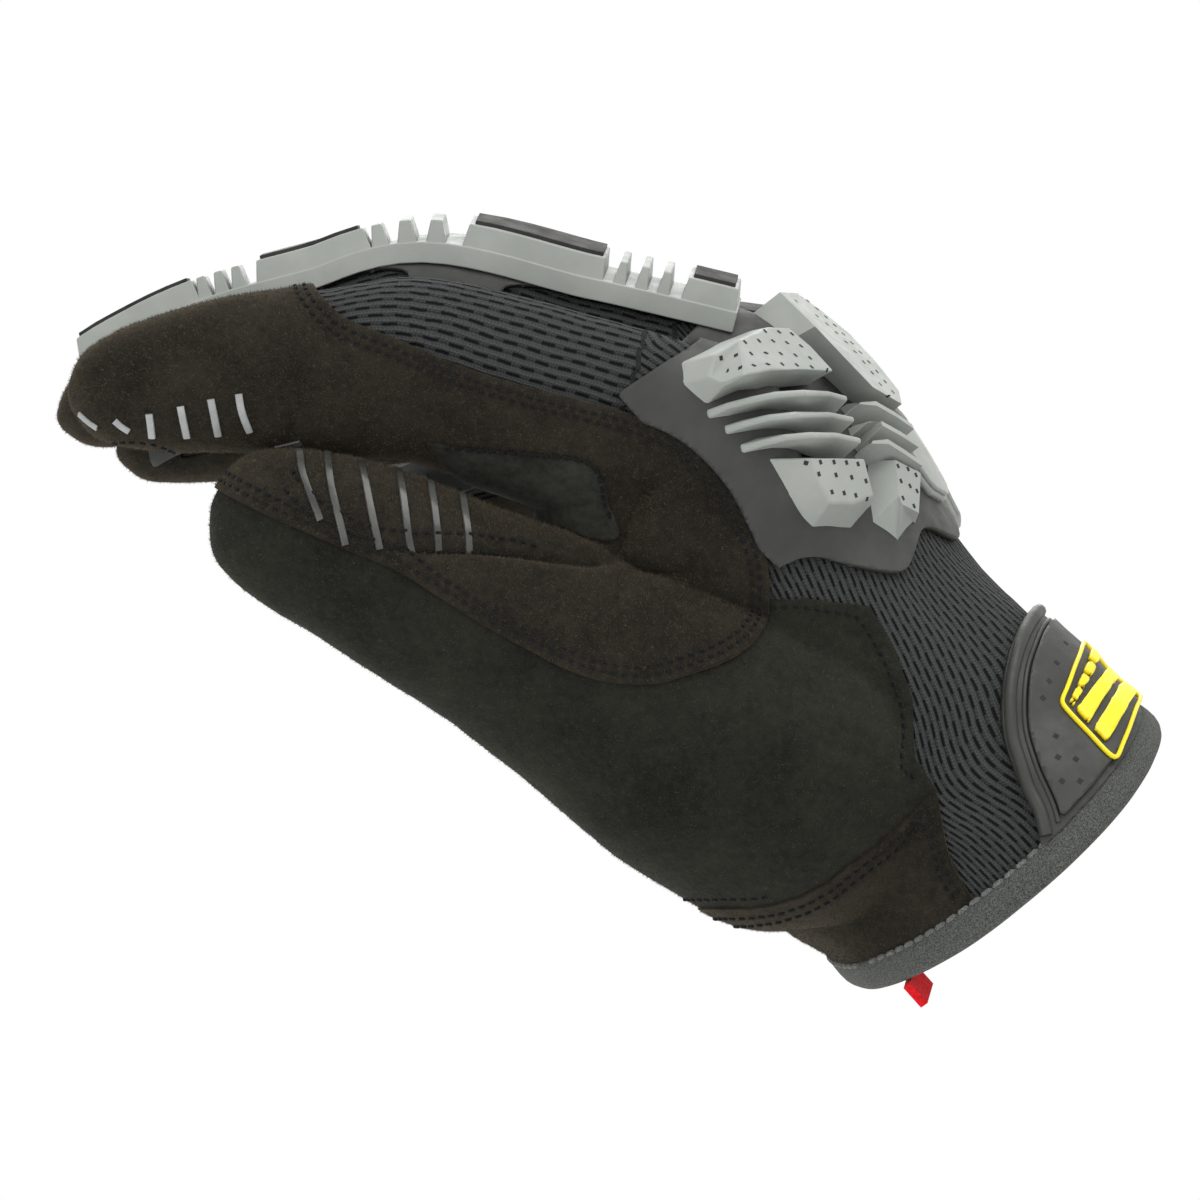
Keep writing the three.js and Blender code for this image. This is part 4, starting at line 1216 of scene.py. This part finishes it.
# %% [markdown]
# Finger guards: a dark sheet over the finger's back with two windows on each side, grey bars on it
# that break into three thin ribs over each joint, and a black grip plate on each bar. The bars are
# lofted along the finger's own curve, so they bend with it.

# %% finger guards
BARS = [(0.02, 0.105), (0.215, 0.415), (0.5, 0.68), (0.75, 0.945)]  # shares of the finger
RIBS = [0.118, 0.15, 0.182, 0.427, 0.454, 0.481, 0.69, 0.712, 0.734]
GUARDS = {"middle": 0.0, "ring": 0.0, "little": 0.2}  # bars nearer the knuckles are left off
GUARD_TOP = 6.4
RAIL_TOP = 2.4
RAIL_END = 0.93  # share of the finger
SHEET_END = 0.945
BAR_SHAPE = (0.5, GUARD_TOP, 0.64, 0.46)  # low, high; widths of foot and top as shares of the finger's
BAR_LEAN = 0.9
RIB_LEAN = 0.85
RIB_LONG = 3.0
PLATE_IN = 0.012  # a plate ends this share inside its bar
FLANGE_DROP = 10.2  # mm down the finger's sides from its crown
WINDOWS = [(0.19, 0.165, 5.2, 3.3), (0.585, 0.12, 5.0, 3.0)]  # middle, half length, drop, half height


def back_block(name, start, end, low, high, foot, top, lean=0.0):
    """A bar along a finger's back; its top is shorter than its foot by a lean at each end, in mm."""
    digit = DIGITS[name]
    count = max(2, int((end - start) * digit["length"] / 3))
    rings = []
    for share in np.linspace(0, 1, count):
        low_at = start + (end - start) * share
        shorter = lean / digit["length"]
        high_at = start + shorter + (end - start - 2 * shorter) * share
        ring = []
        for at_share, height, wide in ((low_at, low, foot), (high_at, high, top)):
            centre, _, across, out = (v[0] for v in digit_frame(name, at_share))
            w, t = smooth_rows(FINGER_SECTIONS, np.array([at_share]))[0]
            crown = centre + out * (t * digit["thick"] / 2 + height)
            side = across * wide * w * digit["wide"] / 2
            ring += [crown - side, crown + side] if height == low else [crown + side, crown - side]
        rings.append(ring)
    return np.array(rings).reshape(-1, 3), ring_faces(count, 4)


for name, first in GUARDS.items():
    bars = [bar for bar in BARS if bar[0] >= first]
    rail_from = 0.02 if first == 0 else 0.12
    parts = [back_block(name, rail_from, RAIL_END, -1.5, RAIL_TOP, 0.7, 0.62)]
    parts += [back_block(name, a, b, *BAR_SHAPE, BAR_LEAN) for a, b in bars]
    rib = RIB_LONG / DIGITS[name]["length"]
    parts += [back_block(name, r, r + rib, *BAR_SHAPE, RIB_LEAN) for r in RIBS if r >= first]
    guard = joined("guard_" + name, parts, GREY_RUBBER, smooth=0)
    soft_edges(guard, 0.3, 2, 25, 50)
    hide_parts(name + "_guard")
    plates = [back_block(name, a + PLATE_IN, b - PLATE_IN, GUARD_TOP - 0.2, GUARD_TOP + 0.7, 0.4, 0.37)
              for a, b in bars]
    plate = joined("grip_plates_" + name, plates, INLAY, smooth=0)
    soft_edges(plate, 0.15, 2, 25, 50)
    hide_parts(*[f"{name}_inlay_{k + 1}" for k in range(len(bars))])
    mine = (at.finger == FINGERS.index(name)) & (np.abs(at.off) < DIGITS[name]["wide"] * 0.6)
    crown = smooth_rows(FINGER_SECTIONS, np.clip(at.share, -0.2, 1))[:, 1] * DIGITS[name]["thick"] / 2
    drop = crown - at.lift
    sheet_in = overlap(FLANGE_DROP - drop, (at.share - rail_from) * at.length,
                       (SHEET_END - at.share) * at.length)
    for middle_share, half, down, tall in WINDOWS:
        window = (np.abs((at.share - middle_share) / half) ** 3
                  + np.abs((drop - down) / tall) ** 3) ** (1 / 3)
        sheet_in = np.minimum(sheet_in, (window - 1) * tall)
    panel("guard_sheet_" + name, np.where(mine, sheet_in, -3.0), 0.1, 1.2, DARK_RUBBER)

# %% [markdown]
# The cuff. Its edge is bound with a folded knit band, which is a flattened tube along the line where
# the skin meets the cuff. The rubber tab is cut from the skin in steps, with a round rim.

# %% bands that follow a line


def even_line(line, ways, step, closed):
    """A line and its ways out, resampled at even steps and smoothed a little."""
    if closed:
        line, ways = np.vstack([line, line[:1]]), np.vstack([ways, ways[:1]])
    run = lengths_along(line)
    count = max(4, int(run[-1] / step))
    at_run = np.linspace(0, run[-1], count, endpoint=not closed)
    p, w = at_lengths(at_run, run, line), at_lengths(at_run, run, ways)
    for _ in range(3):
        inner = slice(None) if closed else slice(1, -1)
        p[inner] = ((np.roll(p, 1, 0) + np.roll(p, -1, 0)) / 4 + p / 2)[inner]
        w[inner] = ((np.roll(w, 1, 0) + np.roll(w, -1, 0)) / 4 + w / 2)[inner]
    return p, unit(w)


def band(line, ways, half_wide, half_high, lift, closed, sides=12, step=1.2, square=1.0):
    """A rounded band along a line on the skin."""
    p, out = even_line(line, ways, step, closed)
    run = np.roll(p, -1, 0) - np.roll(p, 1, 0) if closed else np.gradient(p, axis=0)
    side = unit(np.cross(out, unit(run)))
    turn = np.linspace(0, 2 * math.pi, sides, endpoint=False)
    wide, high = (np.sign(v) * np.abs(v) ** square for v in (np.cos(turn), np.sin(turn)))
    rings = ((p + out * lift)[:, None] + side[:, None] * (wide * half_wide)[:, None]
             + out[:, None] * (high * half_high)[:, None])
    return rings.reshape(-1, 3), ring_faces(len(p), sides, closed)


def opened(line, ways, keep, closed):
    """A closed line rolled to start at a point that isn't kept, so that no kept run is split."""
    if not closed or keep.all():
        return line, ways, keep
    first = -int(np.argmin(keep))
    return np.roll(line, first, 0), np.roll(ways, first, 0), np.roll(keep, first)


BINDING_MIDDLE = 2.9  # mm in from the cuff's edge
cuff_line = max(skin_lines(cuff_in - BINDING_MIDDLE), key=lambda line: len(line[0]))
fold = band(*cuff_line[:2], 3.1, 1.55, 0.5, True, 16, 1.0, 0.8)
binding = joined("binding_band", [fold], BINDING)
facing_out(binding)
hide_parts("cuff_binding")
print("binding is", round(float(lengths_along(cuff_line[0])[-1])), "mm round")

# %% the cuff tab
TAB = [(1024, 618), (1012, 642), (1004, 668), (1000, 700), (1002, 735), (1014, 772), (1034, 816), (1050, 862),
       (1120, 900), (1220, 800), (1220, 640), (1120, 560), (1052, 590)]
tab_in = np.minimum(drawn_area(TAB), (0.4 - at.palm[:, 1]) * PALM_WIDTH)
tab_in = np.where(at.palm[:, 2] > 0.1, tab_in, -5)
tab_cloth = np.minimum(tab_in, cuff_in - 5.2)
panel("tab_plate", tab_cloth, 0.1, 1.9, TAB_RUBBER, ["cuff_tab"])
raised_in = np.minimum(tab_in - 4.4, cuff_in - 6.4)
plateau = panel("tab_raised", raised_in, 1.7, 2.9, TAB_RUBBER)
rims = []
for inset, wide, high, lift in ((1.3, 1.25, 1.0, 2.1), (3.9, 0.55, 0.45, 1.9)):
    for line, ways, closed in skin_lines(np.minimum(tab_in - inset, cuff_in - 5.0), 30):
        line, ways, keep = opened(line, ways, (line @ CUFF_AXIS) < -6.0, closed)
        closed = bool(keep.all() and closed)
        rims.append(band(line[keep], ways[keep], wide, high, lift, closed, 10, 1.0))
facing_out(joined("tab_rims", rims, TAB_RUBBER))

# %% [markdown]
# The badge on the tab is yellow moulded rubber. Here it carries a plain pattern of its own: a raised
# frame and slanted bars, in the colours and at the scale of moulded lettering.

# %% the badge
BADGE = [(1076, 638), (1049, 712), (1111, 775), (1139, 694)]
badge_loop = np.array(BADGE, float)
to_eye = EYE - hand_p
facing = (hand_n * to_eye).sum(1) / np.linalg.norm(to_eye, axis=1)
badge_in = inside_outline(at.sheet, badge_loop) * DRAWING_UNIT
badge_in = np.minimum(badge_in, (facing + 0.1) * 12)
corner, ahead, aside = badge_loop[0], badge_loop[1] - badge_loop[0], badge_loop[3] - badge_loop[0]
u, v = np.linalg.solve(np.stack([ahead, aside], 1), (at.sheet - corner).T)
BAR_SHARES = [(0.2, 0.055, 6), (0.47, 0.1, 1), (0.76, 0.1, 1)]  # middle, half width, blocks in the row
bars_in = np.full(len(hand_p), -9.0)
for middle_share, half, blocks in BAR_SHARES:
    slanted = v + (0.14 * (u - 0.5) if blocks == 1 else 0)
    row = (half - np.abs(slanted - middle_share)) * np.linalg.norm(aside)
    row = np.minimum(row, (0.43 - np.abs(u - 0.52)) * np.linalg.norm(ahead))
    if blocks > 1:
        row = np.minimum(row, (0.37 - np.abs((u * blocks) % 1 - 0.5)) / blocks * np.linalg.norm(ahead))
    bars_in = np.maximum(bars_in, row * DRAWING_UNIT)
panel("badge_bars", np.minimum(bars_in, badge_in - 1.7), 2.8, 3.8, YELLOW, ["cuff_badge"])
frames = [band(line, ways, 0.42, 0.5, 3.2, closed, 10, 0.8)
          for line, ways, closed in skin_lines(badge_in - 0.5, 20)]
facing_out(joined("badge_frame", frames, YELLOW))
# the tab's pits are squares of painted shade too
TAB_PITS = [((1066, 643), (1053, 672), (1043, 698), 4), ((1030, 734), (1046, 735), (1056, 736), 2),
            ((1058, 757), (1066, 758), (1076, 759), 2), ((1062, 781), (1080, 781), (1098, 781), 3),
            ((1083, 804), (1084, 804), (1085, 804), 1)]
squares(TAB_PITS, surface_of(plateau), 1.0, "pit_shade_tab")

# %% [markdown]
# Stitches. A seam is two rows of short threads. Each thread is a small spindle that follows the
# skin, set along lines at a fixed distance inside a panel's edge. Modelled threads catch light
# and throw small shadows, which a painted line can't do.

# %% stitches
STITCH_PITCH = 2.0
STITCH_LONG = 1.4
THREAD_WIDE = 0.4


def stitches_on(line, ways, lift, closed, pitch=STITCH_PITCH, long=STITCH_LONG, wide=THREAD_WIDE):
    p, out = even_line(line, ways, 0.6, closed)
    run = lengths_along(p)
    parts = []
    for start in np.arange(pitch / 2, run[-1] - long, pitch):
        ring = []
        for share, thin in ((0.0, 0.35), (0.2, 1.0), (0.8, 1.0), (1.0, 0.35)):
            spot, way = (at_lengths(start + long * share, run, rows) for rows in (p, out))
            ring.append((spot + way * (lift - (0.25 if thin < 1 else 0)), way, thin))
        ahead = ring[3][0] - ring[0][0]
        side = np.cross(ring[1][1], ahead)
        side /= max(np.linalg.norm(side), 1e-9)
        points = [s_ + (side * math.cos(a) + w * math.sin(a)) * wide * t
                  for s_, w, t in ring for a in np.linspace(0, 2 * math.pi, 6, endpoint=False)]
        parts.append((points, ring_faces(4, 6)))
    return parts


def seam(field, insets, lift, keep):
    """Rows of stitches inside the edge where a field is 0, on the stretches that are kept."""
    parts = []
    for inset in insets:
        for line, ways, closed in skin_lines(field - inset, 12):
            line, ways, ok = opened(line, ways, keep(line), closed)
            cuts = np.flatnonzero(np.diff(ok.astype(int))) + 1
            closed = closed and bool(ok.all())
            for l, w, k in zip(*(np.split(rows, cuts) for rows in (line, ways, ok))):
                if k[0] and len(l) > 8:
                    parts += stitches_on(l, w, lift, closed)
    return parts


def drawn(points):
    """A line drawn on the sheet, laid on the skin."""
    spots, ways = zip(*(seen(x, y, 0.05) for x, y in eased(points, 10)))
    return np.array(spots), np.array(ways)


def near_edge(line):
    return line[:, 1] < SADDLE_BACK - 2.5


def off_binding(line):
    return line @ CUFF_AXIS < -6.5


def palm_side(line):
    """The viewer's side of the palm, between 18 and 82 mm along it."""
    return (line[:, 1] < 0) & (np.abs(line @ ALONG - 50) < 32)


threads = seam(saddle_in, (1.7, 3.3), 1.35, near_edge)
threads += seam(np.minimum(wrist_in, suede_in), (1.6, 3.0), 1.1, off_binding)
threads += seam(palm_field, (2.0,), 0.5, palm_side)
THUMB_ROWS = [
    [(290, 470), (305, 490), (327, 507), (367, 526), (413, 534), (467, 537), (510, 543), (545, 551)],
    [(282, 490), (300, 506), (322, 520), (365, 538), (413, 546), (467, 548), (510, 553)],
]
for row in THUMB_ROWS:
    threads += stitches_on(*drawn(row), 1.4, False)
PATCH_ROW = [(440, 441), (490, 446), (540, 451), (584, 457), (597, 466), (606, 492), (614, 520)]
threads += stitches_on(*drawn(PATCH_ROW), 2.0, False)
joined("seam_stitches", threads, THREAD)
scallops = [stitches_on(line, ways, 1.3, closed, 2.7, 2.5, 0.55)
            for line, ways, closed in skin_lines(cuff_in - 5.5, 40)]
joined("binding_stitches", sum(scallops, []), THREAD_GREY)
print("stitches:", len(threads), "round the cuff:", sum(len(some) for some in scallops))

# %% grip strips and the grain patch
THUMB_STRIPS = [
    [(276, 441), (290, 439), (302, 437)],
    [(298, 452), (304, 482), (321, 522)],
    [(324, 447), (331, 490), (346, 545)],
    [(356, 455), (367, 500), (379, 550)],
    [(394, 466), (402, 505), (410, 551)],
    [(425, 477), (433, 515), (439, 553)],
    [(458, 489), (463, 520), (468, 555)],
]
INDEX_STRIPS = [[(86, 411), (93, 418), (101, 423)], [(117, 417), (124, 423), (131, 426)],
                [(150, 411), (152, 421), (153, 432)], [(181, 404), (184, 418), (187, 432)],
                [(211, 397), (214, 413), (218, 430)], [(239, 392), (242, 410), (250, 427)]]
# the thumb's strips take the darker copy of the silver: painted shade
for name, lines, finish in (("thumb", THUMB_STRIPS, SILVER_SHADED), ("index", INDEX_STRIPS, SILVER)):
    strips = [band(*drawn(line), 0.7, 0.32, 1.5, False, 8, 1.0, 0.6) for line in lines]
    facing_out(joined("grip_strips_" + name, strips, finish))
PATCH = [(428, 438), (470, 446), (530, 452), (586, 460), (602, 476), (611, 500), (618, 535), (600, 540),
         (560, 525), (520, 507), (480, 482), (450, 462)]
patch_in = np.minimum(drawn_area(PATCH), SADDLE_BACK - hand_p[:, 1])
panel("grain_patch", patch_in, 1.2, 1.75, GREY_PATCH)

# %% the pull tab
pull_tab = nodes["pull_tab"]
pull_tab.data.materials.clear()
pull_tab.data.materials.append(PULL)
modifier(pull_tab, "BEVEL", width=0.3 * MM, segments=3)
print("pull tab dressed")

# %% [markdown]
# Suede is felt-like: its cut fibres stand up and catch the light, most of all along the outline.
# Thousands of tiny slanted slivers do what no smooth surface can. Each is one thin triangle.

# %% the nap of the suede
stitch_tree = KDTree(len(threads))
for k, (points, _) in enumerate(threads):
    stitch_tree.insert(Vector(np.mean(points, axis=0)), k)
stitch_tree.balance()


STITCH_CLEAR = 1.0  # mm round each stitch without fibres
FIBRE_LEAN = 0.9  # the most that a fibre leans away from the cuff
FIBRE_HALF = 0.045  # mm
NAP_SEED = 5


def nap(name, field, height, count, long, material):
    """Loose fibres on a panel: thin triangles that lean away from the cuff."""
    p, t, e = trimmed(hand_p, hand_t, field - 0.3, hand_n)
    n = unit(e[:, :3])
    area = np.linalg.norm(np.cross(p[t[:, 1]] - p[t[:, 0]], p[t[:, 2]] - p[t[:, 0]]), axis=1)
    rng = np.random.default_rng(NAP_SEED)
    pick = rng.choice(len(t), count, p=area / area.sum())
    w = rng.dirichlet((1, 1, 1), count)
    root_p = (p[t[pick]] * w[:, :, None]).sum(1)
    out = unit((n[t[pick]] * w[:, :, None]).sum(1))
    free = np.array([stitch_tree.find(Vector(spot))[2] > STITCH_CLEAR for spot in root_p])
    root_p, out, count = root_p[free], out[free], int(free.sum())
    way = out + rng.normal(0, 0.55, (count, 3)) + ALONG * rng.uniform(0, FIBRE_LEAN, count)[:, None]
    way = unit(way)
    size = long * rng.uniform(0.4, 1.0, count)[:, None]
    side = unit(np.cross(way, rng.normal(0, 1, (count, 3))))
    base = root_p + out * (height - 0.05)
    corners = np.stack([base - side * FIBRE_HALF, base + side * FIBRE_HALF, base + way * size], 1)
    mesh = mesh_from(name, corners.reshape(-1, 3), np.arange(count * 3).reshape(-1, 3))
    print(name, count, "fibres")
    return piece(name, mesh, material, smooth=0)


FIBRE_BROWN = plain_cloth("brown fibre", linear(46, 43, 36), linear(98, 91, 76), 900.0)
FIBRE_DARK = plain_cloth("dark fibre", linear(38, 38, 33), linear(86, 84, 72), 900.0)
nap("nap_saddle", saddle_in, 1.3, 90000, 0.75, FIBRE_BROWN)
nap("nap_palm", np.minimum(palm_field, -saddle_in), 0.45, 110000, 0.7, FIBRE_DARK)
tip_in = np.where((at.finger >= 1) & (at.finger <= 3), (at.share - 0.25) * at.length, -3)
tips_in = overlap(palm_field, tip_in, -saddle_in)
panel("fingertip_suede", tips_in, 0.3, 0.6, SUEDE)
nap("nap_fingertips", tips_in, 0.6, 50000, 0.75, FIBRE_BROWN)
nap("nap_wrist", overlap(suede_in, wrist_in, cuff_in - 6), 0.95, 20000, 0.6, FIBRE_DARK)

# %% [markdown]
# Light and camera. The glove was shown on white under wide soft light, so a pale world does most of
# the work and three big soft lamps shape it. The camera stands where the sheet was drawn from.

# %% camera, light and floor
camera_data = bpy.data.cameras.new("camera")
camera_data.sensor_width = 36
camera_data.lens = 36 * VIEW_DISTANCE / (2 * SHEET_CENTRE * DRAWING_UNIT)
camera_data.clip_start = 0.01
camera = new_object("camera", camera_data)
camera.location = (VIEW_CENTRE[0] * MM, -VIEW_DISTANCE * MM, VIEW_CENTRE[1] * MM)
camera.rotation_euler = (math.pi / 2, 0, 0)
bpy.context.scene.camera = camera

world = bpy.data.worlds.new("white studio")
world.use_nodes = True
sky = world.node_tree
ways = sky.nodes.new("ShaderNodeSeparateXYZ")
sky.links.new(sky.nodes.new("ShaderNodeTexCoord").outputs["Generated"], ways.inputs[0])
glow = sky.nodes.new("ShaderNodeMapRange")
for socket, value in zip((1, 2, 3, 4), (-1.0, -0.15, 0.35, 1.0)):
    glow.inputs[socket].default_value = value
sky.links.new(ways.outputs["Z"], glow.inputs[0])
sky.links.new(glow.outputs[0], sky.nodes["Background"].inputs["Strength"])
sky.nodes["Background"].inputs["Color"].default_value = (1, 1, 1, 1)
bpy.context.scene.world = world
bpy.context.scene.view_settings.view_transform = "Standard"


def lamp(name, place, aim, size, power):
    light = bpy.data.lights.new(name, "AREA")
    light.size = size
    light.energy = power
    made = new_object(name, light)
    made.location = place
    made.rotation_euler = (Vector(aim) - Vector(place)).to_track_quat("-Z", "Y").to_euler()
    return made


middle = (VIEW_CENTRE[0] * MM, 0, VIEW_CENTRE[1] * MM)
lamp("top light", (0.15, -0.2, 0.75), middle, 0.6, 3.2)
lamp("front light", (-0.5, -0.8, 0.3), middle, 0.5, 1.3)
lamp("back light", (-0.15, 0.7, 0.45), middle, 0.7, 3.6)

FLOOR = -160  # mm
FLOOR_HALF = 600
corners = [(x * FLOOR_HALF, y * FLOOR_HALF, FLOOR) for x, y in ((-1, -1), (1, -1), (1, 1), (-1, 1))]
floor = new_object("floor", mesh_from("floor", corners, [[0, 1, 2, 3]]))
floor.data.materials.append(Finish("pale floor", (0.9, 0.9, 0.9), 0.9).material)
